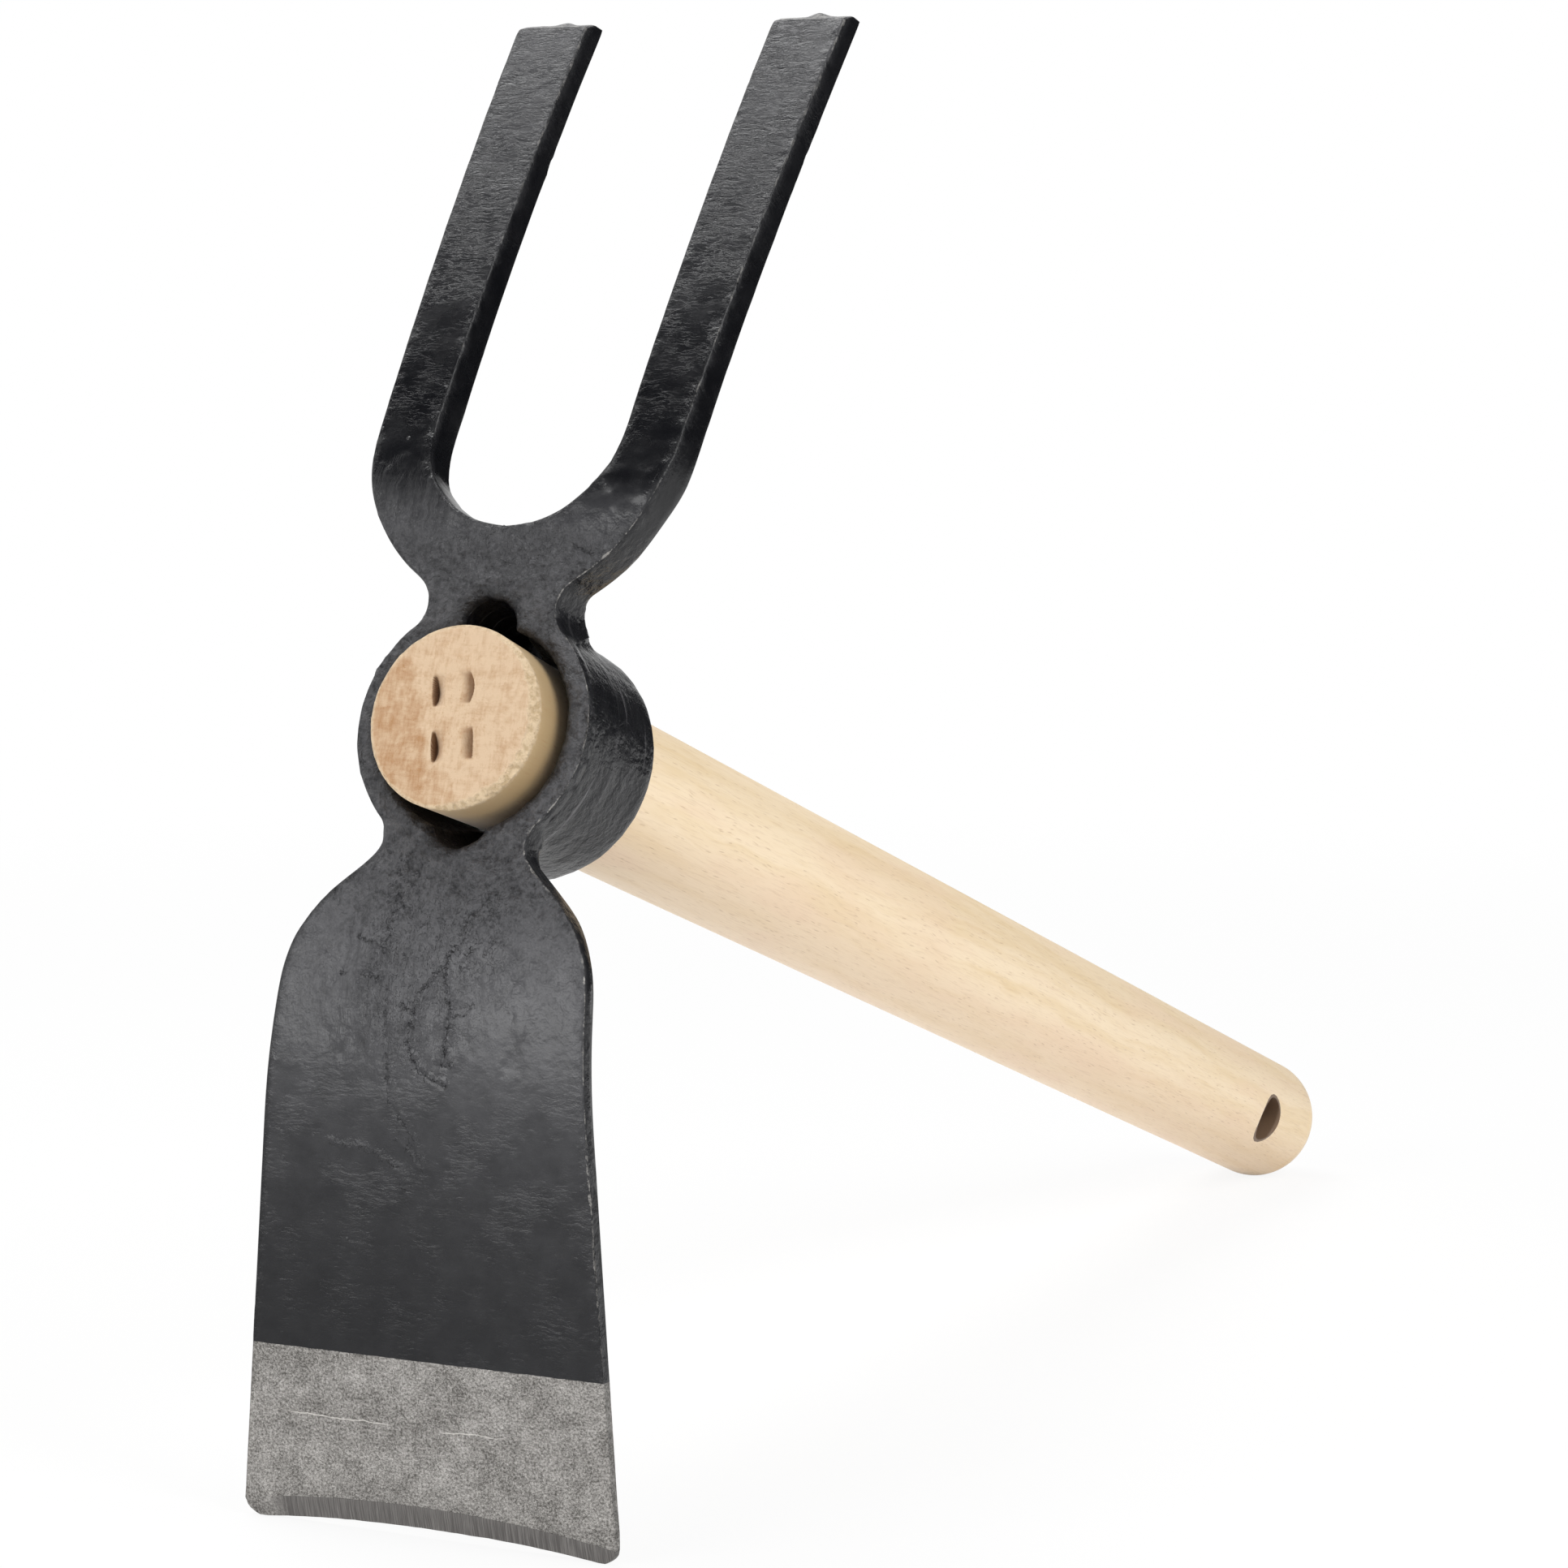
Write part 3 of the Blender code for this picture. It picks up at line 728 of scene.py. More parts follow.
    def _scale(self, sheet: NodeSheet, flat: Socket, flaky: Socket) -> tuple[Socket, Socket]:
        """Scale that was hammered in and flaked off again: noise cut into terraces, with a dark, broken line at each.

        Args:
            sheet: The material's nodes.
            flat: The layout.
            flaky: How far the flakes show.

        Returns:
            A height in millimetres, and how dark the flakes' edges are.
        """
        bent = sheet.warped(sheet.stretched(flat, (1.0, 1.5, 1.0)), 2.0, 1.2)
        ground = sheet.cloud(bent, 5.0, 5, 0.62)
        steps = [sheet.span(ground, level, level + 0.012) for level in (0.40, 0.47, 0.53, 0.60)]
        lines = [sheet.span(sheet.math("ABSOLUTE", sheet.math("SUBTRACT", ground, level)), 0.010, 0.0)
                 for level in (0.40, 0.47, 0.53, 0.60)]
        broken = sheet.span(sheet.cloud(flat, 1.6, 3, 0.6), 0.48, 0.60, (0.0, 0.75))
        return sheet.product(sheet.total(*steps), flaky, 0.22), sheet.product(sheet.total(*lines), broken, flaky)

    def _paint_colour(self, sheet: NodeSheet, flat: Socket, painted_light_with_relief: Socket, painted_light: Socket, collar_sheen: Socket) -> Socket:
        """Deep black paint made greyer by the painted light, with painted sheen and painted shade, random grey clouds
        and specks, and painted sheen streaks round the collar.

        Args:
            sheet: The material's nodes.
            flat: The layout.
            painted_light_with_relief: The painted light, with the relief's painted highlights and shade.
            painted_light: The painted light without them.
            collar_sheen: How far the painted sheen streaks round the collar show.

        Returns:
            The colour of the paint.
        """
        clouds = sheet.span(sheet.cloud(flat, 5.0, 5, 0.6), 0.25, 0.75, (-0.22, 0.22))
        specks = sheet.span(sheet.cloud(flat, 0.45, 3, 0.6), 0.62, 0.75, (0.0, 0.35))
        grey = sheet.product(sheet.total(clouds, specks), sheet.total(painted_light, 0.08))
        # Deep black where painted shade falls, grey where painted sheen falls.
        paint = sheet.mix(sheet.math("ADD", painted_light_with_relief, grey, True), self.deep, self.grey_and_sheen)
        bent = sheet.warped(flat, 9.0, 1.6)
        streaks = sheet.cloud(sheet.stretched(bent, (26.0, 26.0, 1.5)), 1.0, 3, 0.55)
        # Painted sheen streaks round the collar.
        return sheet.mix(sheet.product(sheet.span(streaks, 0.56, 0.72), collar_sheen), paint, self.collar_sheen_grey)

    def _steel_colour(
        self, sheet: NodeSheet, flat: Socket, across: Socket, along: Socket, ground: Socket
    ) -> Socket:
        """Blasted steel is speckled and blotched, the bevel is darker with lines across it, and scratches shine.

        Args:
            sheet: The material's nodes.
            flat: The layout.
            across: Its first part.
            along: Its second part.
            ground: 1 on the bevel.

        Returns:
            The colour of the bare steel.
        """
        speckle = sheet.span(sheet.cloud(flat, 0.42, 4, 0.85), 0.30, 0.70, (-0.06, 0.78))
        blotches = sheet.span(sheet.cloud(flat, 9.0, 4, 0.6), 0.30, 0.70, (-0.11, 0.10))
        stains = sheet.span(sheet.cloud(flat, 2.4, 4, 0.65), 0.28, 0.72, (-0.13, 0.12))
        blasted = sheet.mix(sheet.total(speckle, blotches, stains), self.dull_steel, self.bright_steel)
        lines = sheet.cloud(sheet.stretched(flat, (0.20, 7.0, 7.0)), 1.0, 3, 0.6)
        bevel = sheet.mix(sheet.span(lines, 0.35, 0.8, (0.0, 0.36)), self.ground_steel, self.bright_steel)
        wander = sheet.span(sheet.cloud(flat, 6.0, 3), 0.25, 0.75, (-0.35, 0.35))
        off = sheet.math("ABSOLUTE", sheet.total(along, wander, -self.scratch_line))
        broken = sheet.span(sheet.cloud(flat, 1.1, 3, 0.7), 0.32, 0.46)
        gap = sheet.span(sheet.math("ABSOLUTE", sheet.math("ADD", across, 2.0)), 3.5, 6.5)
        ends = sheet.span(sheet.math("ABSOLUTE", sheet.math("ADD", across, 6.0)), 22.0, 17.0)
        scratch = sheet.product(sheet.span(off, 0.13, 0.02), broken, gap, ends)
        return sheet.mix(ground, sheet.mix(scratch, blasted, self.worn_steel), bevel)

    def _paint_relief(
        self, sheet: NodeSheet, flat: Socket, ripple: Socket, granular: Socket, striae: Socket
    ) -> tuple[Socket, Socket]:
        """The paint's relief: waves, wrinkles across the tines, grains, striae along the blade and pimples of dust.

        Args:
            sheet: The material's nodes.
            flat: The layout.
            ripple: How far the wrinkles show.
            granular: How far the grains show.
            striae: How far the striae show.

        Returns:
            A height in millimetres, and how far a place stands above or below its surroundings, about 0, which the
            colour turns into painted highlights on high spots and painted shade in dips.
        """
        bent = sheet.warped(flat, 3.2, 1.5)
        patches = sheet.span(sheet.cloud(flat, 9.0, 4, 0.6), 0.40, 0.62, (0.12, 1.0))
        wave = sheet.math("SUBTRACT", sheet.cloud(sheet.stretched(bent, (2.3, 0.75, 2.0)), 1.0, 4, 0.6), 0.5)
        waves = sheet.product(wave, patches, sheet.stored("waves"))
        cross = sheet.math("SUBTRACT", sheet.cloud(sheet.stretched(bent, (3.2, 0.62, 3.0)), 1.0, 3, 0.6), 0.5)
        lined = sheet.span(sheet.math("ABSOLUTE", cross), 0.05, 0.0)
        wrinkles = sheet.product(sheet.total(cross, sheet.product(lined, 0.35)), patches, ripple)
        lump = sheet.math("SUBTRACT", sheet.cloud(sheet.warped(flat, 2.0, 0.8), 2.7, 3, 0.55), 0.5)
        lumps = sheet.product(lump, granular)
        grains = sheet.product(sheet.math("SUBTRACT", sheet.cloud(flat, 1.1, 4, 0.75), 0.5), granular)
        line = sheet.math("SUBTRACT", sheet.cloud(sheet.stretched(bent, (0.9, 9.0, 2.0)), 1.0, 4, 0.65), 0.5)
        lines = sheet.product(line, striae)
        near, picked = sheet.cells(flat, 6.5)
        pimples = sheet.product(sheet.span(near, 0.07, 0.0), sheet.span(picked, 0.55, 0.57))
        height = sheet.total(
            sheet.product(waves, 0.24),
            sheet.product(wrinkles, 0.30),
            sheet.product(lumps, 1.7),
            sheet.product(grains, 0.45),
            sheet.product(lines, 0.60),
            sheet.product(pimples, 0.20),
        )
        # Colour follows the relief: painted highlights on high spots, painted shade in dips.
        relief_light_and_shade = sheet.total(
            sheet.product(waves, 1.0),
            sheet.product(wrinkles, 1.5),
            sheet.product(lumps, 1.2),
            sheet.product(grains, 2.9),
            sheet.product(lines, 2.2),
            sheet.product(pimples, 0.6),
        )
        return height, relief_light_and_shade

    def _steel_relief(self, sheet: NodeSheet, flat: Socket, ground: Socket) -> Socket:
        """Height of the bare steel: blasted grains, and grinding lines on the bevel."""
        grains = sheet.product(sheet.cloud(flat, 0.55, 4, 0.8), 0.12)
        lines = sheet.product(sheet.cloud(sheet.stretched(flat, (0.25, 8.0, 8.0)), 1.0, 2), 0.03)
        return sheet.blend(ground, grains, lines)


@dataclass
class ForgedHead:
    """The head: one forging with a blade, a ring with a collar, and a two-tine fork. Sizes in millimetres."""

    stance: Stance
    blank: Blank
    finish: PaintedSteel
    mouth_radius: float = 16.9
    mouth_round: float = 1.5
    mouth_depth: float = 4.0
    ring_radius: float = 21.0
    collar_rear: float = 32.1
    bevel_top: float = -126.3
    bevel_bow: float = 0.0021
    top_slot: Point = (16.2, 5.1)
    bottom_slot: Point = (-14.8, 5.1)
    crease: float = math.radians(20)
    round_turn: float = math.radians(33)
    burrs: tuple[Point, ...] = ((-24.0, 3.2), (25.2, 2.6))
    tip_top: float = 139.6
    laps: tuple[Lap, ...] = (
        Lap(
            ((8.0, -26.0), (7.5, -28.5), (4.7, -32.0), (4.8, -35.0), (2.6, -37.0), (2.5, -41.5), (4.2, -46.0),
             (3.8, -51.5), (3.8, -54.5)),
            depth=0.20, width=0.24, lip=0.10,
        ),
        Lap(
            ((2.4, -38.5), (-2.2, -44.4), (-3.4, -51.0), (-1.2, -56.0), (2.0, -57.3), (5.0, -58.0)),
            depth=0.17, width=0.24, lip=0.08,
        ),
        Lap(((7.7, -35.0), (5.8, -36.7), (4.9, -40.0)), depth=0.10, width=0.24),
        Lap(((4.2, -46.9), (6.7, -46.5), (8.6, -44.2)), depth=0.15, width=0.24),
        Lap(((-14.0, -41.2), (-7.6, -41.6)), depth=0.16, width=0.34, lip=0.08),
        Lap(((-7.8, -42.0), (-7.2, -51.0), (-6.0, -61.0), (-1.5, -67.0), (0.0, -72.5)), depth=0.07, width=0.4),
        Lap(((-18.6, -68.6), (-9.5, -69.2), (-4.1, -72.0), (-3.1, -76.0)), depth=-0.12, width=0.8),
        Lap(((-5.4, -66.3), (-2.6, -68.7), (-1.1, -71.0), (-0.4, -73.5)), depth=-0.08, width=0.5),
        Lap(((-10.2, -23.8), (-5.3, -26.4), (-4.7, -28.2)), depth=0.13, width=0.26, lip=0.10),
        Lap(((-11.0, -29.0), (-7.9, -28.0), (-6.9, -29.9), (-10.0, -32.1), (-8.7, -34.7), (-10.3, -36.1)),
            depth=0.13, width=0.26, lip=0.12),
        Lap(((-15.1, -34.9), (-10.0, -36.9), (-7.7, -37.9)), depth=0.12, width=0.26, lip=0.10),
        Lap(((-5.4, -45.2), (-2.6, -47.4), (-2.6, -49.8)), depth=0.10, width=0.24),
        Lap(((1.6, -54.5), (4.6, -54.7), (5.9, -52.9)), depth=0.10, width=0.24),
        Lap(((-17.0, -40.2), (-15.6, -42.1)), depth=0.10, width=0.26),
        Lap(((-11.9, -21.1), (-7.5, -22.6), (-4.4, -25.6)), depth=0.12, width=0.28, lip=0.10),
        Lap(((2.6, 33.1), (2.1, 30.5), (2.3, 26.7), (1.7, 22.4)), depth=-0.16, width=0.6),
        Lap(((-6.7, 19.9), (-5.1, 21.5), (-0.7, 24.2), (4.2, 24.6), (7.1, 23.5)), depth=-0.22, width=0.9),
        Lap(((12.6, 30.8), (14.9, 29.6), (17.8, 29.0)), depth=0.13, width=0.35, lip=0.10),
    )

    def build(self, node: bpy.types.Object) -> bpy.types.Object:
        """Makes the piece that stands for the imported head.

        Args:
            node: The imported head.

        Returns:
            The finished piece.
        """
        surface = Surface.copy_of(node, self.stance)
        surface.even_out(60)
        surface.split(self._coarse_size, 5)
        surface.ease(20, self.crease, self._behind_ring)
        surface.split(self._fine_size, 3)
        surface.ease(4, self.crease, self._behind_ring)
        flat = self.blank.flattened(surface.points)
        facing = self._facing_front(flat, surface.normals())
        rim = self._rim_gap(surface, facing)
        surface.points[:, 1] += self._rolled_mouth(surface.points, flat, facing)
        normals = surface.normals()
        ending = self._facing_end(flat, normals)
        surface.points += normals * self._marks(surface.points, flat, facing, ending)[:, None] + self._blunted(flat)
        piece = surface.into_object("forged_head", self.stance, math.radians(60))
        self._store(piece, surface.points, flat, facing, ending, rim)
        piece.data.materials.append(self.finish.material())
        return piece

    def _behind_ring(self, points: Array) -> Array:
        """Where the necks run up the collar's back, which has no sharp edges of its own."""
        radius = np.hypot(points[:, 0], points[:, 2])
        return (points[:, 1] > self.blank.front + 3.4) & (np.abs(radius - self.ring_radius) < 6) & (points[:, 1] < 28)

    def _facing_front(self, flat: Array, normals: Array) -> Array:
        """Cosine between the surface and the blank's front face: 1 on the front, 0 on the sides, -1 on the back."""
        sine = np.sign(flat[:, 1]) * np.sin(self.blank.lean(flat[:, 1]))
        return normals[:, 2] * sine - normals[:, 1] * np.sqrt(1 - sine**2)

    def _along(self, flat: Array) -> Array:
        """The way up along the blank at each point, as rows of unit length."""
        sine = np.sign(flat[:, 1]) * np.sin(self.blank.lean(flat[:, 1]))
        return np.column_stack((np.zeros(len(flat)), sine, np.sqrt(1 - sine**2)))

    def _facing_end(self, flat: Array, normals: Array) -> Array:
        """Cosine between the surface and the way along the blank: 1 on the tines' ends, 0 on the front and the sides."""
        return (normals * self._along(flat)).sum(axis=1)

    def _coarse_size(self, points: Array) -> Array:
        """How long an edge may be before the facets are eased, in millimetres."""
        return np.full(len(points), 2.2)

    def _fine_size(self, points: Array) -> Array:
        """How long an edge may be: short on the front, shorter on the ring and the upper blade, shortest at the laps."""
        flat = self.blank.flattened(points)
        across, along, depth = flat.T
        shallow = np.abs(depth) < 0.6
        size = np.where(shallow, 1.3, 2.1)
        size = np.where(shallow & ((np.abs(along) < 34) | (along < -125)), 1.0, size)
        size = np.where(shallow & (np.abs(along + 42) < 20) & (np.abs(across) < 24), 0.85, size)
        mouth = np.abs(self._mouth_gap(points) - 0.7) < 1.5
        size = np.where(mouth & (depth < 4) & (depth > -1), 0.55, size)
        size = np.where(along > 134.5, 0.7, size)
        worked = shallow & (np.abs(along + 26) < 62) & (np.abs(across) < 24)
        gap = np.min([lap.reach(flat[worked, :2])[0] for lap in self.laps], axis=0)
        size[worked] = np.where(gap < 0.9, 0.42, size[worked])
        return size

    def _mouth_gap(self, points: Array) -> Array:
        """Distance outside the eye's front opening, a round mouth with a slot above and below it; less than 0 inside.

        It is the least of hypot(x, z - c) - r over the three circles, each with a centre height c and a radius r.
        """
        x, z = points[:, 0], points[:, 2]
        circles = ((0.0, self.mouth_radius), self.top_slot, self.bottom_slot)
        return np.min([np.hypot(x, z - height) - radius for height, radius in circles], axis=0)

    def _rolled_mouth(self, points: Array, flat: Array, facing: Array) -> Array:
        """How far the eye's front edge is rolled in, along Y.

        With g the distance to the edge and R the round, the front drops by R - sqrt(R^2 - (R - g)^2). The wall behind
        it, at a depth d above the mouth's depth D, moves back by R (1 - d / D).

        Args:
            points: Tool points.
            flat: The same points on the blank.
            facing: How far each faces the front.

        Returns:
            The shift of each point.
        """
        gap = self._mouth_gap(points)
        depth = flat[:, 2]
        inside = np.clip(1 - np.maximum(gap, 0) / self.mouth_round, 0, 1)
        front = (facing > 0.6) & (depth < 0.4)
        wall = ~front & (gap < 0.3) & (depth > -0.3) & (depth < self.mouth_depth)
        drop = self.mouth_round * (1 - np.sqrt(1 - inside**2))
        back = self.mouth_round * (1 - np.clip(depth, 0, None) / self.mouth_depth)
        return np.where(front, drop, np.where(wall, back, 0.0))

    def _rim_gap(self, surface: Surface, facing: Array, most: float = 4.0) -> Array:
        """How far each point is from the rounded edge between the blank's front face and its sides.

        The edge is every crease near the front face but the mouth's, taken at five places along each mesh edge.

        Args:
            surface: The head, eased.
            facing: How far each point faces the front.
            most: Distances are cut off here, in millimetres.

        Returns:
            One distance for each point, in millimetres.
        """
        pairs, sides = surface.edges()
        ends = surface.points[pairs]
        middle = ends.mean(axis=1)
        depth = self.blank.flattened(middle)[:, 2]
        edge = surface.creases(pairs, sides, self.round_turn) & (np.abs(depth) < 0.7)
        edge &= (self._mouth_gap(middle) > 0.8) & (facing[pairs].max(axis=1) < 0.95)
        share = np.linspace(0.1, 0.9, 5)[:, None, None]
        places = (ends[edge, 0] * (1 - share) + ends[edge, 1] * share).reshape(-1, 3).astype(np.float32)
        gaps = np.full(len(surface.points), most)
        near = np.flatnonzero(np.abs(self.blank.flattened(surface.points)[:, 2]) < most)
        squares = (places**2).sum(axis=1)
        for chunk in np.array_split(near, 1 + len(near) // 2000):
            spots = surface.points[chunk].astype(np.float32)
            apart = (spots**2).sum(axis=1)[:, None] + squares - 2 * spots @ places.T
            gaps[chunk] = np.minimum(np.sqrt(np.maximum(apart.min(axis=1), 0)), most)
        return gaps

    def _marks(self, points: Array, flat: Array, facing: Array, ending: Array) -> Array:
        """The height of the forging's marks over the smooth shape.

        Args:
            points: Tool points.
            flat: The same points on the blank.
            facing: How far each faces the front.
            ending: How far each faces along the blank.

        Returns:
            A height along the normal at each point, in millimetres.
        """
        across, along, depth = flat.T
        front = ramp(facing, 0.5, 0.9)
        level = 0.12 + 0.88 * ramp(np.abs(facing), 0.6, 0.95)
        inside = self._mouth_gap(points) < 0.3
        outside = np.where(inside & (depth > 0.8), 0.0, 1.0)
        blade = ramp(-along, 26, 36)
        tines = ramp(along, 42, 52)
        bare = ramp(-along, 101, 104)
        swell = (0.10 * noise(flat, 17.0, 1) + 0.05 * noise(flat, 7.0, 2)) * level
        swell *= (1 - 0.8 * bare) * (1 - 0.6 * tines)
        grains = 0.20 * layered_noise(flat, 3.0, 3, 3) * (1 - blade) * (1 - tines)
        cross = 0.015 * layered_noise(flat / (5.0, 1.6, 3.0), 1.0, 5, 2) * tines
        upper = hill(along, -40, 17) * ramp(np.abs(across), 26, 14)
        patchy = 0.4 + 0.6 * ramp(noise(flat, 6.0, 11), -0.2, 0.4)
        rough = 0.27 * layered_noise(flat / (1.7, 3.0, 2.0), 1.0, 8, 2) * upper * patchy
        wobble = np.column_stack((noise(flat, 1.7, 13), noise(flat, 1.7, 14))) * 0.6
        folds = sum(lap.height(flat[:, :2] + wobble) for lap in self.laps)
        worked = outside * (swell + (grains + rough + cross + folds) * front)
        return worked + self._collar_marks(points, depth) + self._tip_marks(flat, ending)

    def _collar_marks(self, points: Array, depth: Array) -> Array:
        """Rings left round the collar by the mandrel, drifting slowly as they go round, and a ragged rear rim."""
        radius = np.hypot(points[:, 0], points[:, 2])
        around = np.column_stack((points[:, 0] / 26, points[:, 1] / 2.6, points[:, 2] / 26))
        on_collar = ramp(depth, 2.5, 4.5) * ramp(radius, 18.2, 19.2) * ramp(radius, 23.5, 22.0)
        rim = hill(points[:, 1], self.collar_rear, 1.2) * ramp(radius, 17.0, 18.0)
        return 0.09 * noise(around, 1.0, 21) * on_collar + 0.12 * layered_noise(points, 1.3, 23, 2) * rim

    def _tip_marks(self, flat: Array, ending: Array) -> Array:
        """The tines' sheared ends: rough faces, and a burr standing up from each."""
        across, along, depth = flat.T
        end = ramp(along, 134.5, 136.0) * ramp(ending, 0.3, 0.6)
        burrs = sum(0.7 * hill(across, x, 1.6) * hill(depth, at, 1.1) for x, at in self.burrs)
        return end * (0.05 * layered_noise(flat, 2.2, 25, 2) + burrs)

    def _blunted(self, flat: Array) -> Array:
        """How far the tines' sharp rear corners are worn back along the blank: 0.55 of what stands above tip_top."""
        above = np.maximum(flat[:, 1] - self.tip_top, 0)
        return -0.55 * above[:, None] * self._along(flat)

    def _store(
        self, piece: bpy.types.Object, points: Array, flat: Array, facing: Array, ending: Array, rim: Array
    ) -> None:
        """Stores what the finish reads: the layout, the weights of its textures, the painted light, wear and collar
        sheen, laps and bevel.

        Args:
            piece: The finished piece.
            points: Its points in the tool's frame.
            flat: Its points on the blank.
            facing: How far each faces the front.
            ending: How far each faces along the blank.
            rim: How far each is from the front's rounded edge.
        """
        across, along, depth = flat.T
        front = ramp(facing, 0.5, 0.9)
        ring = ramp(np.abs(along), 38, 26)
        tines = ramp(along, 44, 54)
        beside = ramp(rim, 2.2, 0.5) * (0.35 + 0.65 * tines)
        ripple = tines * (0.15 + 0.85 * front) * (0.10 + 0.90 * ramp(along, 66, 104))
        granular = ring * (0.25 + 0.75 * front) + 0.3 * hill(along, -36, 12) * front + 0.05 + (0.6 - 0.35 * tines) * beside
        left_shoulder = hill(along, 36, 7) * ramp(across, -8, -13)
        striae = (0.75 * hill(along, -42, 13) * hill(across, -8, 14) + left_shoulder) * front
        paint_points(piece, "layout", flat)
        paint_points(piece, "texture", np.column_stack((ripple, granular, striae)))
        smooth = hill(across, 17, 11) * hill(along, -47, 10)
        waves = ramp(-along, 40, 70) * (1 - 0.4 * ramp(-along, 74, 90)) * (1 - 0.85 * smooth)
        paint_points(piece, "waves", waves * (0.3 + 0.7 * front))
        paint_points(piece, "rim", rim * ramp(ending * ramp(along, 134, 135.5), 0.7, 0.35))
        neck = hill(along, -31, 9) + 0.6 * hill(along, -46, 9) * hill(across, -6, 9) + 0.8 * hill(along, 30, 6)
        paint_points(piece, "flaky", neck * ramp(np.abs(across), 17, 9) * front)
        # Painted light, wear and painted sheen streaks round the collar.
        paint_points(piece, "painted_light_and_wear", self._painted_light_and_wear(points, flat, front, ending, rim))
        paint_points(piece, "fold", self._fold(flat) * np.column_stack((np.ones((len(flat), 2)), front)))
        bevel = self.bevel_top - self.bevel_bow * (across + 2) ** 2 - along
        paint_points(piece, "bevel", bevel)

    def _painted_light_and_wear(self, points: Array, flat: Array, front: Array, ending: Array, rim: Array) -> Array:
        """The painted light, how worn the edges are, and where painted sheen streaks run round the collar, one row for
        each point.

        Args:
            points: Tool points.
            flat: The same points on the blank.
            front: 1 on the front face, 0 elsewhere.
            ending: How far each faces along the blank.
            rim: How far each is from the front's rounded edge.

        Returns:
            Rows of painted light, wear and collar sheen.
        """
        across, along, depth = flat.T
        # Painted light along the blank: painted sheen on the upper blade, the ring and the tines, painted shade down
        # the lower blade and at the fork's bends.
        painted_light = np.interp(
            along,
            (-132, -95, -78, -66, -56, -46, -34, -24, 0, 24, 34, 42, 58, 75, 100, 137),
            (0.06, 0.09, 0.20, 0.36, 0.55, 0.74, 0.92, 0.74, 0.60, 0.60, 0.48, 0.02, 0.00, 0.09, 0.28, 0.55),
        )
        # Painted sheen on the right of the ring and of the blade, and painted shade on the upper blade's left.
        painted_light = painted_light + 0.16 * ramp(across, 10, 16) * ramp(np.abs(along), 26, 18)
        painted_light = painted_light + 0.05 * ramp(across, -8, 12) * ramp(-along, 60, 74)
        painted_light = painted_light + 0.12 * ramp(across, 0, 14) * hill(along, -58, 8) - 0.14 * ramp(across, -2, -14) * hill(along, -44, 10)
        # Painted shade round the eye's mouth, along the blade's left rounded edge and on the sides, with a painted
        # sheen along the sides' rounded edges.
        painted_light = painted_light * (1 - 0.55 * ramp(self._mouth_gap(points), 3.2, 0.4))
        painted_light = painted_light * (1 - 0.7 * ramp(rim, 1.1, 0.3) * ramp(across, 0, -6) * ramp(-along, 20, 26))
        painted_light = painted_light * (0.1 + 0.9 * front) + 0.12 * ramp(rim, 2.0, 0.4) * (1 - front)
        # Paler on the tines' sheared ends.
        sheared = ramp(along, 134.0, 135.5) * ramp(ending, 0.35, 0.7)
        painted_light = np.maximum(painted_light, 0.95 * sheared)
        right = ramp(across, 5, 12)
        blade = right * ramp(-along, 24, 34) * ramp(-along, 112, 84)
        root = right * hill(along, 32, 9)
        ring = right * ramp(np.abs(along), 30, 22)
        worn = np.maximum.reduce((0.6 * blade, root, 0.7 * ring, 0.3 * ramp(along, 44, 60), 0.8 * sheared))
        radius = np.hypot(points[:, 0], points[:, 2])
        # Where the painted sheen streaks run: round the collar's outside.
        collar_sheen = ramp(depth, 2.0, 4.0) * ramp(radius, 18.0, 19.0) * ramp(radius, 25.0, 23.0)
        return np.column_stack((painted_light, worn, 0.75 * collar_sheen))

    def _fold(self, flat: Array) -> Array:
        """The nearest lap: signed and plain distance to its line, in millimetres, and how strongly it is torn."""
        reaches = [lap.reach(flat[:, :2]) for lap in self.laps]
        gaps = np.array([gap for gap, _, _ in reaches])
        nearest = np.argmin(gaps, axis=0), np.arange(len(flat))
        torn = np.array([0.9 if lap.depth > 0.08 else 0.3 for lap in self.laps])
        side = np.array([side for _, side, _ in reaches])[nearest]
        run = np.array([run for _, _, run in reaches])[nearest]
        gap = np.minimum(gaps[nearest], 6)
        return np.column_stack((side * gap, gap, torn[nearest[0]] * ramp(run, 0, 1.2)))


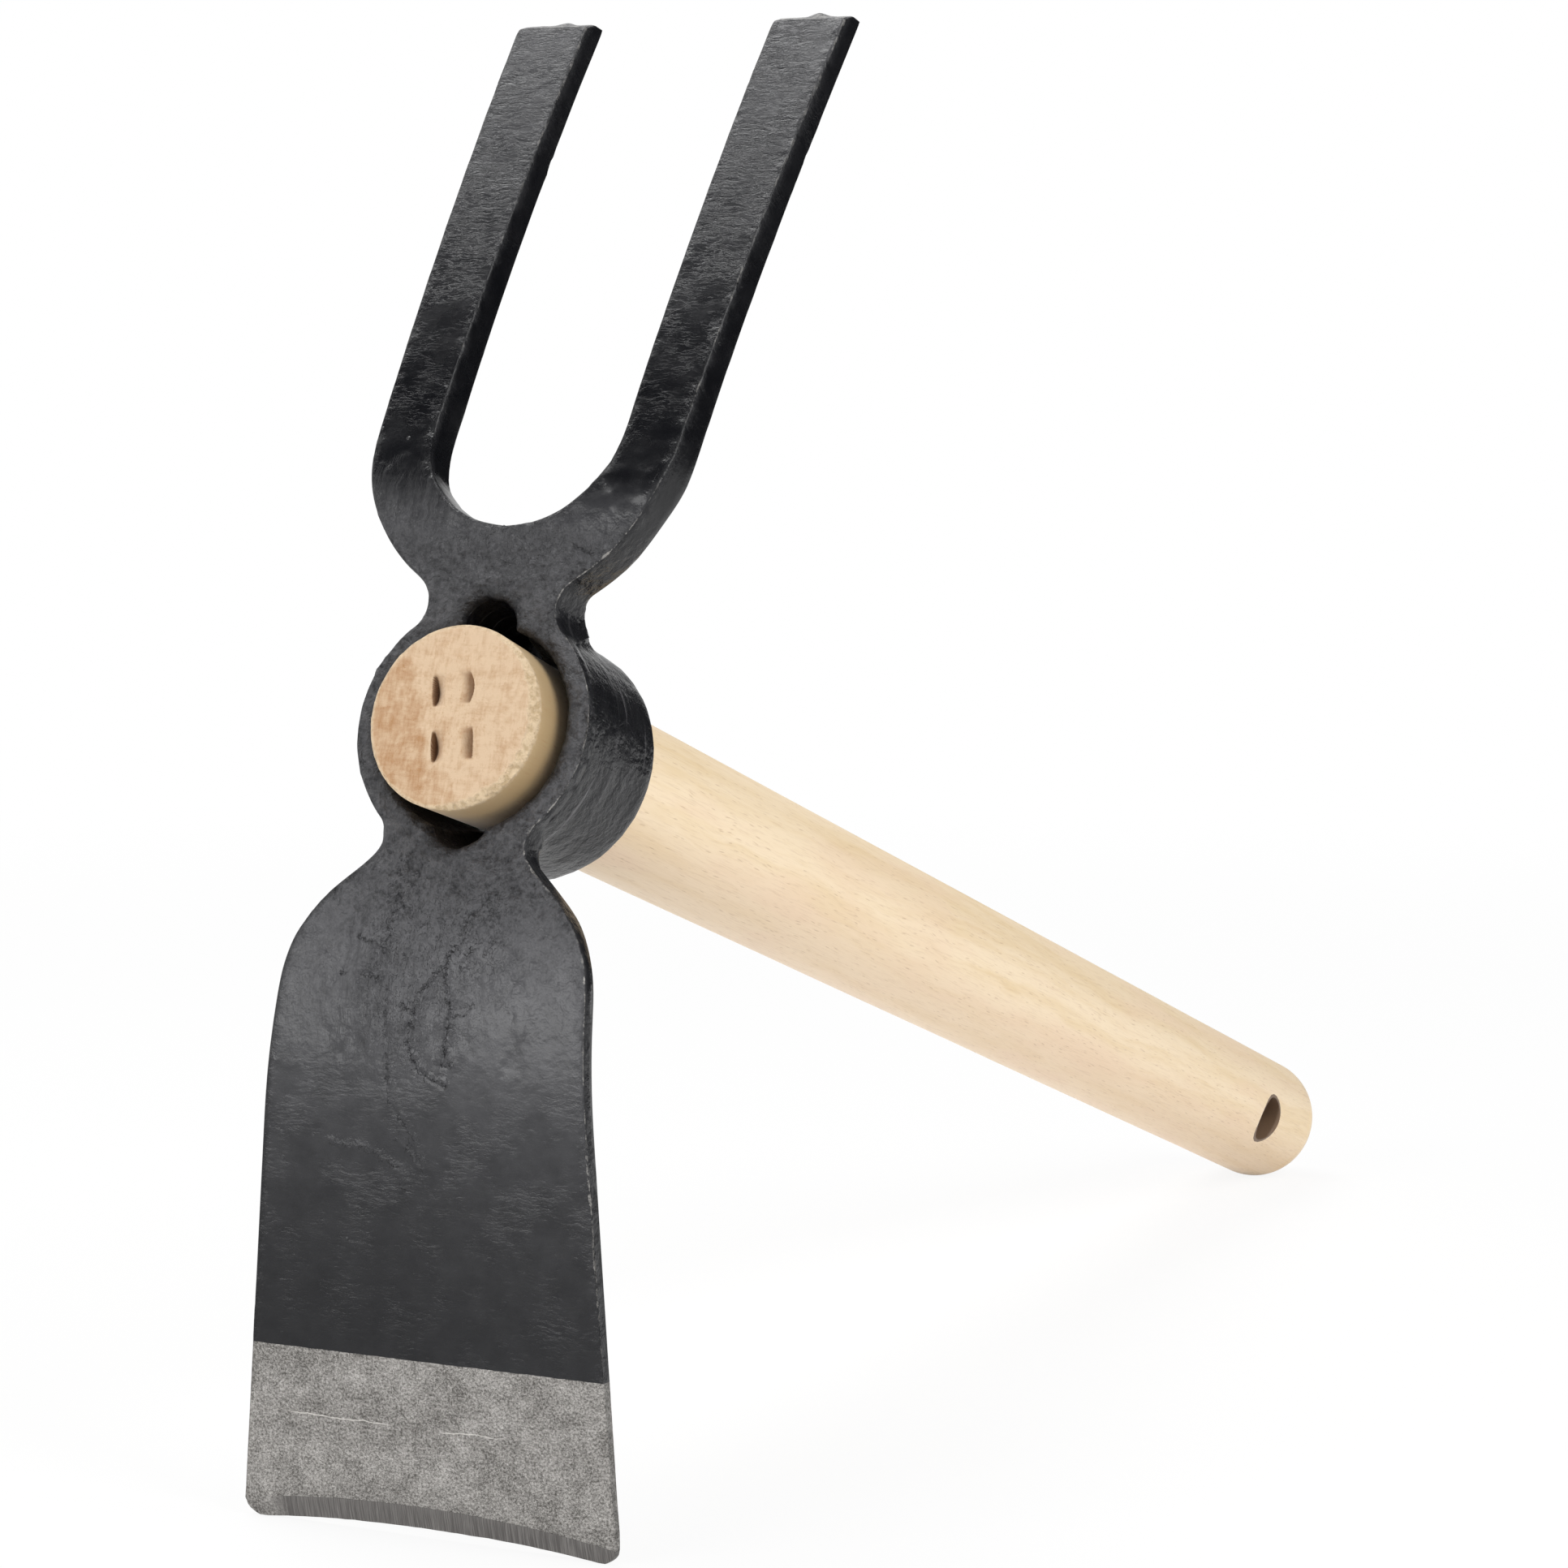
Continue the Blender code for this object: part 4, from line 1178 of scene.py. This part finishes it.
@dataclass(frozen=True)
class Beech:
    """Turned and sanded beech: pale long grain with short brown flecks, and darker sawn end grain."""

    pale: Colour = (0.90, 0.735, 0.52)
    straw: Colour = (0.77, 0.575, 0.315)
    # Pink of the wood's random drifts, and of the painted shade on the underside.
    pink_and_underside_shade: Colour = (0.85, 0.645, 0.455)
    fleck: Colour = (0.46, 0.27, 0.13)
    # Yellow-brown stain at the front end, darkened further as painted shade by the ring.
    stain_and_shade: Colour = (0.41, 0.275, 0.123)
    end_pale: Colour = (0.635, 0.470, 0.315)
    end_brown: Colour = (0.385, 0.200, 0.085)
    frayed: Colour = (0.79, 0.612, 0.405)
    # Crushed fibres on the drive's slopes, darkened further as painted shade.
    bruise_and_shade: Colour = (0.22, 0.108, 0.044)
    # Painted shade on the steep walls of the drive's bites.
    cut: Colour = (0.12, 0.055, 0.020)
    # Darker wood inside the hole, partly painted shade.
    bore_wood_and_shade: Colour = (0.17, 0.105, 0.062)

    def material(self, stance: Stance, hole: float) -> bpy.types.Material:
        """Builds the finish on the tool's own axes, with the state that the handle's points hold.

        Args:
            stance: Where the tool stands.
            hole: Radius of the hole's mouth, inside which the wood is darker, partly as painted shade, in millimetres.

        Returns:
            The material.
        """
        sheet = NodeSheet("sanded_beech")
        place = sheet.tool_place(stance)
        end, slope, wall = sheet.parts(sheet.stored("sawn", "Vector"))
        fray, front_stain_and_shade, gap = sheet.parts(sheet.stored("turned", "Vector"))
        side_colour, side_height = self._long_grain(sheet, place, front_stain_and_shade)
        end_colour, end_height = self._end_grain(sheet, place)
        # Crushed fibres and painted shade on the drive's slopes, painted shade on its steep walls.
        end_colour = sheet.mix(slope, end_colour, self.bruise_and_shade)
        end_colour = sheet.mix(wall, end_colour, self.cut)
        colour = sheet.mix(end, side_colour, end_colour)
        threads = sheet.cloud(sheet.stretched(place, (0.9, 2.0, 0.9)), 1.0, 5, 0.65)
        torn = sheet.product(fray, sheet.span(threads, 0.36, 0.60, (0.25, 0.95)))
        colour = sheet.mix(torn, colour, self.frayed)
        # Darker inside the hole: partly the bore's own wood, partly painted shade.
        colour = sheet.mix(sheet.span(gap, hole + 0.06, hole - 0.06), colour, self.bore_wood_and_shade)
        sheet.feed(sheet.shader.inputs["Base Color"], colour)
        sheet.feed(sheet.shader.inputs["Roughness"], sheet.blend(end, 0.52, 0.85))
        sheet.shader.inputs["Specular IOR Level"].default_value = 0.4
        sheet.shader.inputs["Sheen Weight"].default_value = 0.18
        sheet.shader.inputs["Sheen Roughness"].default_value = 0.35
        height = sheet.blend(end, side_height, end_height)
        height = sheet.total(height, sheet.product(sheet.math("SUBTRACT", threads, 0.5), fray, 0.9))
        sheet.feed(sheet.shader.inputs["Normal"], sheet.relief(height))
        return sheet.material

    def _long_grain(self, sheet: NodeSheet, place: Socket, front_stain_and_shade: Socket) -> tuple[Socket, Socket]:
        """Slow bands of growth, fine fibres, and spindle-shaped flecks that lie along the handle.

        Args:
            sheet: The material's nodes.
            place: Tool coordinates, in millimetres.
            front_stain_and_shade: 1 at the front end, where the drive and the eye left a stain and where painted shade
                falls by the ring.

        Returns:
            The colour, and a height in millimetres.
        """
        _, _, up = sheet.parts(place)
        bent = sheet.warped(place, 26.0, 4.0)
        bands = sheet.cloud(sheet.stretched(bent, (4.0, 70.0, 4.0)), 1.0, 3, 0.55)
        streaks = sheet.cloud(sheet.stretched(bent, (0.9, 24.0, 0.9)), 1.0, 3, 0.6)
        fibres = sheet.cloud(sheet.stretched(place, (0.24, 6.0, 0.24)), 1.0, 2, 0.6)
        upper = sheet.span(up, 2.0, 11.0, (0.0, 0.30))
        yellow = sheet.total(upper, sheet.span(bands, 0.42, 0.72, (0.0, 0.55)), sheet.span(streaks, 0.5, 0.8, (0.0, 0.35)))
        base = sheet.mix(yellow, self.pale, self.straw)
        # Painted shade on the underside, pinker and a little darker, with random pink drifts of the wood's own.
        lower = sheet.span(up, -2.0, -11.0, (0.0, 0.45))
        drift = sheet.cloud(sheet.stretched(place, (8.0, 40.0, 8.0)), 1.0, 2)
        pink = sheet.total(lower, sheet.span(drift, 0.45, 0.7, (0.0, 0.5)))
        base = sheet.mix(pink, base, self.pink_and_underside_shade)
        # Stain and painted shade at the front end, by the ring.
        base = sheet.mix(sheet.product(front_stain_and_shade, 0.85), base, self.stain_and_shade)
        near, picked = sheet.cells(sheet.stretched(bent, (0.40, 4.6, 0.40)), 1.0)
        dashes = sheet.product(sheet.span(near, 0.34, 0.10), sheet.span(picked, 0.50, 0.85))
        base = sheet.mix(sheet.product(dashes, 0.42), base, self.fleck)
        base = sheet.mix(sheet.span(fibres, 0.48, 0.78, (0.0, 0.24)), base, self.fleck)
        height = sheet.total(sheet.product(fibres, 0.03), sheet.product(dashes, -0.02))
        return base, height

    def _end_grain(self, sheet: NodeSheet, place: Socket) -> tuple[Socket, Socket]:
        """Pores and rays on the sawn end, hatched by the saw and browner towards its left.

        Args:
            sheet: The material's nodes.
            place: Tool coordinates, in millimetres.

        Returns:
            The colour, and a height in millimetres.
        """
        across, _, up = sheet.parts(place)
        wander = sheet.span(sheet.cloud(place, 4.0, 4, 0.6), 0.25, 0.75, (-3.5, 3.5))
        low = sheet.product(up, 0.45)
        left = sheet.span(sheet.total(across, wander, low), -2.5, -9.5)
        bent = sheet.warped(place, 5.0, 1.4)
        hatch_up = sheet.cloud(sheet.stretched(bent, (0.5, 4.0, 3.2)), 1.0, 3, 0.6)
        hatch_across = sheet.cloud(sheet.stretched(bent, (3.2, 4.0, 0.5)), 1.0, 3, 0.6)
        pores = sheet.cloud(place, 0.34, 2, 0.6)
        mottle = sheet.cloud(place, 2.8, 5, 0.65)
        brown = sheet.total(
            sheet.product(left, 0.46),
            sheet.span(hatch_up, 0.35, 0.75, (-0.05, 0.20)),
            sheet.span(hatch_across, 0.35, 0.75, (-0.05, 0.13)),
            sheet.span(pores, 0.58, 0.78, (0.0, 0.45)),
            sheet.span(mottle, 0.3, 0.7, (-0.22, 0.34)),
        )
        colour = sheet.mix(brown, self.end_pale, self.end_brown)
        height = sheet.total(
            sheet.product(hatch_up, 0.07), sheet.product(hatch_across, 0.07), sheet.product(pores, -0.09)
        )
        return colour, height


@dataclass
class TurnedHandle:
    """The handle: a straight turned stick, flared at its sawn front end and domed at the grip. Sizes in millimetres."""

    stance: Stance
    finish: Beech
    length: float = 400.0
    sawn_radius: float = 15.1
    grip_radius: float = 13.8
    flare: float = 38.0
    grip_round: float = 8.7
    dome_start: float = math.radians(54)
    hole_radius: float = 5.2
    hole_from_end: float = 36.5
    hole_roll: float = math.radians(16.5)
    hole_lip: float = 0.9
    mark_width: float = 7.3
    mark_depth: float = 1.9
    mark_slope: float = 2.1
    mark_spread: float = 4.6
    mark_reach: float = 2.8
    mark_roll: float = math.radians(-8.4)
    around: int = 208

    def build(self) -> bpy.types.Object:
        """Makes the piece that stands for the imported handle.

        Returns:
            The finished piece.
        """
        surface = wrapped(*self._grid())
        piece = surface.into_object("beech_handle", self.stance, math.radians(40))
        drill = wrapped(*self._drill())
        drill.points = self._across_handle(drill.points)
        self._bore(piece, drill.into_object("drill", self.stance, math.radians(40)))
        points = np.empty(len(piece.data.vertices) * 3)
        piece.data.vertices.foreach_get("co", points)
        points = self.stance.to_tool(points.reshape(-1, 3))
        self._store(piece, points)
        piece.data.materials.append(self.finish.material(self.stance, self.hole_radius + 0.8 * self.hole_lip))
        return piece

    def _store(self, piece: bpy.types.Object, points: Array) -> None:
        """Stores what the finish reads: the sawn face, its bruises and the painted shade in the drive's bites, the
        frayed rim, the front end's stain and painted shade, and the hole.

        Args:
            piece: The finished piece.
            points: Its points in the tool's frame.
        """
        x, y, z = points.T
        inside = self.sawn_radius - self._chip(np.arctan2(z, x)) - np.hypot(x, z)
        front = ramp(y, 3.4, 2.6)
        face = front * ramp(inside, -0.3, 0.05)
        _, slope, wall = self._drive_marks(x, z)
        paint_points(piece, "sawn", np.column_stack((face, slope * face, wall * face)))
        fray = ramp(y, 2.2, 1.2) * ramp(inside, 0.4, 0.0)
        _, side = self._hole_axes()
        gap = np.hypot(y - (self.length - self.hole_from_end), points @ side)
        paint_points(piece, "turned", np.column_stack((fray, ramp(y, 13, 6), np.minimum(gap, 20))))

    def _grid(self) -> tuple[Array, Array]:
        """The handle as rings: radius and place along the axis, for each ring and each angle.

        Rings run out over the sawn face, round its chipped rim, down the flare and the grip, and in over the dome,
        which is a small arc at the shoulder tangent to a larger one at the end.

        Returns:
            Radius and place, rings by angles.
        """
        angle = np.linspace(0, math.tau, self.around, endpoint=False)
        chip = self._chip(angle)
        out = np.linspace(0, 1, 96)[:, None]
        face_radius = out * (self.sawn_radius - chip)
        face_place = self._sawn_face(face_radius * np.cos(angle), face_radius * np.sin(angle))
        turn = np.linspace(0, 1, 7)[1:, None]
        rim_radius = self.sawn_radius - chip * (1 - turn)
        rim_place = face_place[-1] + (0.9 * chip - face_place[-1]) * turn**1.4
        rim_radius = rim_radius + self._fibres(angle, turn) * chip
        down = np.concatenate((np.linspace(2.0, self.flare, 26), np.arange(self.flare + 2, 390, 1.9)))[:, None]
        side_radius = np.interp(down, (0, self.flare), (self.sawn_radius, self.grip_radius)) + 0 * angle
        side_place = down + 0 * angle
        side_radius = side_radius + self._sanding(angle, side_place)
        rim = self.grip_radius - self.grip_round
        large = self.grip_round + rim / math.cos(self.dome_start)
        centre = self.length - large
        small_centre = centre + (large - self.grip_round) * math.sin(self.dome_start)
        first = np.linspace(0, self.dome_start, 16)[:, None]
        second = np.linspace(self.dome_start, math.pi / 2, 18)[1:, None]
        dome_radius = np.concatenate((rim + self.grip_round * np.cos(first), large * np.cos(second))) + 0 * angle
        dome_place = np.concatenate((small_centre + self.grip_round * np.sin(first), centre + large * np.sin(second)))
        radius = np.concatenate((face_radius, rim_radius, side_radius, dome_radius))
        place = np.concatenate((face_place, rim_place, side_place, dome_place + 0 * angle))
        return radius, place

    def _chip(self, angle: Array) -> Array:
        """How far the sawn rim is broken away: a fine chamfer, wide and fibrous on the right."""
        ring = np.column_stack((np.cos(angle), np.sin(angle), 0 * angle)) * self.sawn_radius
        right = ramp(np.cos(angle + 0.25), -0.1, 0.95)
        return 0.35 + 0.12 * noise(ring, 2.0, 31) + right * (0.85 + 0.35 * layered_noise(ring, 1.2, 33, 2))

    def _fibres(self, angle: Array, turn: Array) -> Array:
        """Torn fibres on the rim: noise round the edge, none at the rim's two sides."""
        ring = np.column_stack((np.cos(angle), np.sin(angle), 0 * angle)) * self.sawn_radius
        return 0.35 * layered_noise(ring, 0.9, 35, 2) * np.sin(math.pi * turn)

    def _sanding(self, angle: Array, place: Array) -> Array:
        """Slight waves along the turned side, as a sanding belt leaves them, none inside the eye."""
        points = np.stack(np.broadcast_arrays(np.cos(angle) * 14, place / 3, np.sin(angle) * 14), axis=-1)
        return (0.05 * noise(points.reshape(-1, 3), 9.0, 37)).reshape(place.shape) * ramp(place, 34, 44)

    def _sawn_face(self, x: Array, z: Array) -> Array:
        """The sawn end's depth into the handle: the dents of the lathe's drive, and the saw's roughness."""
        points = np.stack((x, z, 0 * x), axis=-1).reshape(-1, 3)
        saw = layered_noise(points / (0.9, 4.0, 1.0), 1.0, 41, 2) + noise(points / (4.0, 0.8, 1.0), 1.0, 43)
        return self._drive_marks(x, z)[0] + 0.035 * saw.reshape(x.shape)

    def _drive_marks(self, x: Array, z: Array) -> tuple[Array, Array, Array]:
        """Bites of the lathe's drive, two above and two below: each slopes in from the middle to a steep outer wall.

        With u across the end, w along a bite from -1 to 1, h half the bites' width and s a slope's length, the depth
        is (1 - w^2) (|u| - h + s) / s between h - s and h.

        Args:
            x: Across the end.
            z: Up the end.

        Returns:
            The depth into the handle, 1 at the foot of the right slopes, and 1 on the steep left walls.
        """
        sine, cosine = math.sin(self.mark_roll), math.cos(self.mark_roll)
        u = x * cosine - z * sine
        v = x * sine + z * cosine
        depth, slope, wall = np.zeros((3, *x.shape))
        for side, bow in ((1, 0.24), (-1, 0.04)):
            w = (v - side * self.mark_spread) / self.mark_reach
            reach = np.clip(1 - w**2, 0, 1)
            half = self.mark_width / 2 * (1 - np.where(u > 0, bow, 0.06) * np.clip(w**2, 0, 1))
            foot = np.clip((np.abs(u) - half + self.mark_slope) / self.mark_slope, 0, 1)
            within = ramp(np.abs(u), half + 0.12, half - 0.08)
            depth = np.maximum(depth, self.mark_depth * reach * foot * within)
            slope = np.maximum(slope, np.where(u > 0, foot, 0.25 * foot) * within * ramp(reach, 0.0, 0.45))
            left = ramp(u, -half - 0.25, -half - 0.08) * ramp(u, -half + 0.34, -half + 0.10)
            wall = np.maximum(wall, left * ramp(reach, 0.05, 0.4))
        return depth, slope, wall

    def _drill(self) -> tuple[Array, Array]:
        """A drill along Y, its radius opening at each end by a quarter round for the hole's worn lips."""
        start = self.grip_radius - self.hole_lip
        turn = np.linspace(0, 0.92, 7)
        lip_radius = self.hole_radius + self.hole_lip * (1 - np.sqrt(1 - turn**2))
        lip_place = start + self.hole_lip * turn
        end = self.grip_radius + 2
        last = lip_radius[-1] + 2.5
        middle = np.linspace(-start, start, 24)[1:-1]
        radius = np.concatenate(
            ((0, last), lip_radius[::-1], np.full(len(middle), self.hole_radius), lip_radius, (last, 0))
        )
        place = np.concatenate(((-end, -end), -lip_place[::-1], middle, lip_place, (end, end)))
        return radius[:, None] + np.zeros(72), place[:, None] + np.zeros(72)

    def _across_handle(self, points: Array) -> Array:
        """Lays a drill's points across the handle, at the hole."""
        axis, side = self._hole_axes()
        centre = np.array((0, self.length - self.hole_from_end, 0))
        return centre + points @ np.array((-np.array((0, 1.0, 0)), axis, side))

    def _hole_axes(self) -> tuple[Array, Array]:
        """The hole's axis, and the direction square to it and to the handle."""
        cosine, sine = math.cos(self.hole_roll), math.sin(self.hole_roll)
        return np.array((cosine, 0, -sine)), np.array((sine, 0, cosine))

    def _bore(self, piece: bpy.types.Object, drill: bpy.types.Object) -> None:
        """Cuts the hole by a Boolean, and keeps its result as the piece's own mesh.

        Args:
            piece: The handle.
            drill: The tool, which is then thrown away.
        """
        cut = piece.modifiers.new("bore", "BOOLEAN")
        cut.operation = "DIFFERENCE"
        cut.solver = "EXACT"
        cut.object = drill
        evaluated = piece.evaluated_get(bpy.context.evaluated_depsgraph_get())
        mesh = bpy.data.meshes.new_from_object(evaluated)
        piece.modifiers.clear()
        piece.data = mesh
        mesh.name = piece.name
        bpy.data.objects.remove(drill)
        mesh.shade_smooth()
        mesh.set_sharp_from_angle(angle=math.radians(40))


def wrapped(radius: Array, place: Array) -> Surface:
    """A surface of rings about Y, closed at both ends: (radius cos angle, place, radius sin angle).

    Args:
        radius: Ring by angle. The first and last rings have no radius, and become poles.
        place: The same rings' places along Y.

    Returns:
        The closed surface, facing outwards.
    """
    rings, around = radius.shape
    angle = np.linspace(0, math.tau, around, endpoint=False)
    points = np.stack((radius * np.cos(angle), place, radius * np.sin(angle)), axis=-1)[1:-1].reshape(-1, 3)
    poles = np.array(((0, place[0].mean(), 0), (0, place[-1].mean(), 0)))
    grid = np.arange((rings - 2) * around).reshape(rings - 2, around)
    beside = np.roll(grid, -1, axis=1)
    a, b, c, d = (part.reshape(-1) for part in (grid[:-1], beside[:-1], beside[1:], grid[1:]))
    first, last = len(points), len(points) + 1
    faces = np.vstack(
        (
            np.column_stack((a, c, b)),
            np.column_stack((a, d, c)),
            np.column_stack((grid[0], beside[0], np.full(around, first))),
            np.column_stack((beside[-1], grid[-1], np.full(around, last))),
        )
    )
    return Surface(np.vstack((points, poles)), faces)


@dataclass(frozen=True)
class Lamp:
    """A softbox: where it stands and what it faces, in metres, its size, and its power in watts."""

    name: str
    place: tuple[float, float, float]
    target: tuple[float, float, float]
    size: Point
    power: float

    def build(self) -> None:
        """Hangs the lamp."""
        light = bpy.data.lights.new(self.name, "AREA")
        light.shape = "RECTANGLE"
        light.size, light.size_y = self.size
        light.energy = self.power
        thing = bpy.data.objects.new(self.name, light)
        thing.location = self.place
        away = np.array(self.place) - self.target
        heading = math.atan2(away[0], -away[1])
        thing.rotation_euler = (math.atan2(math.hypot(away[0], away[1]), away[2]), 0, heading)
        thing.visible_camera = False
        bpy.context.scene.collection.objects.link(thing)


@dataclass(frozen=True)
class Card:
    """A black card that is seen only in reflections and keeps parts of the forging dark. Places and size in metres."""

    name: str
    place: tuple[float, float, float]
    target: tuple[float, float, float]
    size: Point

    def build(self) -> None:
        """Hangs the card, a flat rectangle that faces its target."""
        place = np.array(self.place)
        away = (place - self.target) / np.linalg.norm(place - self.target)
        across = np.array((away[1], -away[0], 0)) / np.hypot(away[0], away[1])
        up = np.cross(across, away) * self.size[1] / 2
        across = across * self.size[0] / 2
        mesh = bpy.data.meshes.new(self.name)
        corners = (place - across - up, place + across - up, place + across + up, place - across + up)
        mesh.from_pydata(corners, [], [(0, 1, 2, 3)])
        material = bpy.data.materials.new(self.name)
        material.use_nodes = True
        shader = material.node_tree.nodes["Principled BSDF"]
        shader.inputs["Base Color"].default_value = (0.02, 0.02, 0.02, 1)
        shader.inputs["Roughness"].default_value = 1.0
        shader.inputs["Specular IOR Level"].default_value = 0.0
        mesh.materials.append(material)
        card = bpy.data.objects.new(self.name, mesh)
        card.visible_camera = False
        card.visible_diffuse = False
        card.visible_transmission = False
        card.visible_shadow = False
        bpy.context.scene.collection.objects.link(card)


@dataclass
class Studio:
    """A white floor under a white sky, three softboxes, and the camera where the picture was taken from."""

    camera_place: tuple[float, float, float] = (0.35133, -0.77675, 0.18092)
    camera_pitch: float = math.radians(84.996)
    camera_roll: float = math.radians(-0.532)
    camera_heading: float = math.radians(26.418)
    camera_lens: float = 99.54
    sensor: float = 36.0
    sky: float = 0.38
    floor_half: float = 8.0
    floor_white: float = 0.88
    shadow_reach: Point = (0.35, 1.1)
    lamps: tuple[Lamp, ...] = (
        Lamp("front_softbox", (-0.65, -1.50, 0.50), (0.0, -0.15, 0.13), (0.95, 0.70), 11.5),
        Lamp("side_softbox", (1.25, -0.35, 1.0), (0.0, 0.0, 0.12), (0.9, 0.9), 14.0),
        Lamp("top_softbox", (-0.62, 0.1, 1.55), (0.0, -0.1, 0.15), (0.8, 0.9), 12.0),
    )
    cards: tuple[Card, ...] = (
        Card("rear_card", (0.42, 0.95, 0.65), (0.0, 0.0, 0.65), (1.5, 1.3)),
        Card("top_card", (-0.43, -0.52, 0.94), (0.0, 0.0, 0.20), (0.76, 0.62)),
    )

    def build(self) -> None:
        """Sets up the view, the world, the floor, the lamps and the camera."""
        bpy.context.scene.view_settings.view_transform = "Standard"
        self._world()
        self._floor()
        for card in self.cards:
            card.build()
        for lamp in self.lamps:
            lamp.build()
        self._camera()

    def _seen(self, tree: bpy.types.NodeTree) -> Socket:
        """1 for the rays that see the studio as it looks."""
        path = tree.nodes.new("ShaderNodeLightPath")
        total = path.outputs[Ray.CAMERA.value]
        for ray in (Ray.GLOSSY, Ray.TRANSMISSION):
            node = tree.nodes.new("ShaderNodeMath")
            node.operation = "MAXIMUM"
            tree.links.new(total, node.inputs[0])
            tree.links.new(path.outputs[ray.value], node.inputs[1])
            total = node.outputs[0]
        return total

    def _world(self) -> None:
        """A white sky that looks white and lights at its own, lower strength."""
        world = bpy.data.worlds.new("white_sky")
        world.use_nodes = True
        bpy.context.scene.world = world
        tree = world.node_tree
        node = tree.nodes.new("ShaderNodeMapRange")
        node.inputs["To Min"].default_value = self.sky
        node.inputs["To Max"].default_value = 1.0
        tree.links.new(self._seen(tree), node.inputs["Value"])
        background = tree.nodes["Background"]
        background.inputs["Color"].default_value = (1, 1, 1, 1)
        tree.links.new(node.outputs[0], background.inputs["Strength"])

    def _floor(self) -> None:
        """A wide white floor, lit by the lamps, that looks mostly white by itself but keeps a soft shadow."""
        half = self.floor_half
        corners = ((-half, -half, 0), (half, -half, 0), (half, half, 0), (-half, half, 0))
        mesh = bpy.data.meshes.new("white_floor")
        mesh.from_pydata(corners, [], [(0, 1, 2, 3)])
        material = bpy.data.materials.new("white_floor")
        material.use_nodes = True
        tree = material.node_tree
        shader = tree.nodes["Principled BSDF"]
        shader.inputs["Base Color"].default_value = (0.9, 0.9, 0.9, 1)
        shader.inputs["Roughness"].default_value = 1.0
        shader.inputs["Specular IOR Level"].default_value = 0.0
        glow = tree.nodes.new("ShaderNodeEmission")
        mixed = tree.nodes.new("ShaderNodeMixShader")
        share = tree.nodes.new("ShaderNodeMath")
        share.operation = "MULTIPLY"
        tree.links.new(self._seen(tree), share.inputs[0])
        tree.links.new(self._whiteness(tree), share.inputs[1])
        tree.links.new(share.outputs[0], mixed.inputs[0])
        tree.links.new(shader.outputs[0], mixed.inputs[1])
        tree.links.new(glow.outputs[0], mixed.inputs[2])
        tree.links.new(mixed.outputs[0], tree.nodes["Material Output"].inputs["Surface"])
        mesh.materials.append(material)
        floor = bpy.data.objects.new("white_floor", mesh)
        bpy.context.scene.collection.objects.link(floor)

    def _whiteness(self, tree: bpy.types.NodeTree) -> Socket:
        """How far the floor looks white by itself: wholly so away from the tool, where its shadow has faded out."""
        coordinates = tree.nodes.new("ShaderNodeTexCoord")
        distance = tree.nodes.new("ShaderNodeVectorMath")
        distance.operation = "LENGTH"
        tree.links.new(coordinates.outputs["Object"], distance.inputs[0])
        fade = tree.nodes.new("ShaderNodeMapRange")
        fade.interpolation_type = "SMOOTHSTEP"
        tree.links.new(distance.outputs["Value"], fade.inputs["Value"])
        for name, number in zip(("From Min", "From Max", "To Min"), (*self.shadow_reach, self.floor_white)):
            fade.inputs[name].default_value = number
        return fade.outputs[0]

    def _camera(self) -> None:
        """The camera, at the place, angles and lens worked out for the picture."""
        lens = bpy.data.cameras.new("camera")
        lens.sensor_width = self.sensor
        lens.lens = self.camera_lens
        camera = bpy.data.objects.new("camera", lens)
        camera.location = self.camera_place
        camera.rotation_euler = Euler((self.camera_pitch, self.camera_roll, self.camera_heading))
        bpy.context.scene.collection.objects.link(camera)
        bpy.context.scene.camera = camera


def settle(piece: bpy.types.Object, part: Piece) -> None:
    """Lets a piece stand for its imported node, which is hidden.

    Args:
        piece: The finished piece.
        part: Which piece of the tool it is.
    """
    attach(piece, "root")
    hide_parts(part.value)
    LOG.info("%s: %d faces", piece.name, len(piece.data.polygons))


def main() -> None:
    """Builds the studio, the head and the handle."""
    logging.basicConfig(level=logging.INFO, format="%(name)s: %(message)s")
    stance = Stance.from_record(frame["record"])
    Studio().build()
    head = ForgedHead(stance, Blank(), PaintedSteel())
    settle(head.build(frame["nodes"][Piece.HEAD.value]), Piece.HEAD)
    handle = TurnedHandle(stance, Beech())
    settle(handle.build(), Piece.HANDLE)


if __name__ == "__main__":
    main()
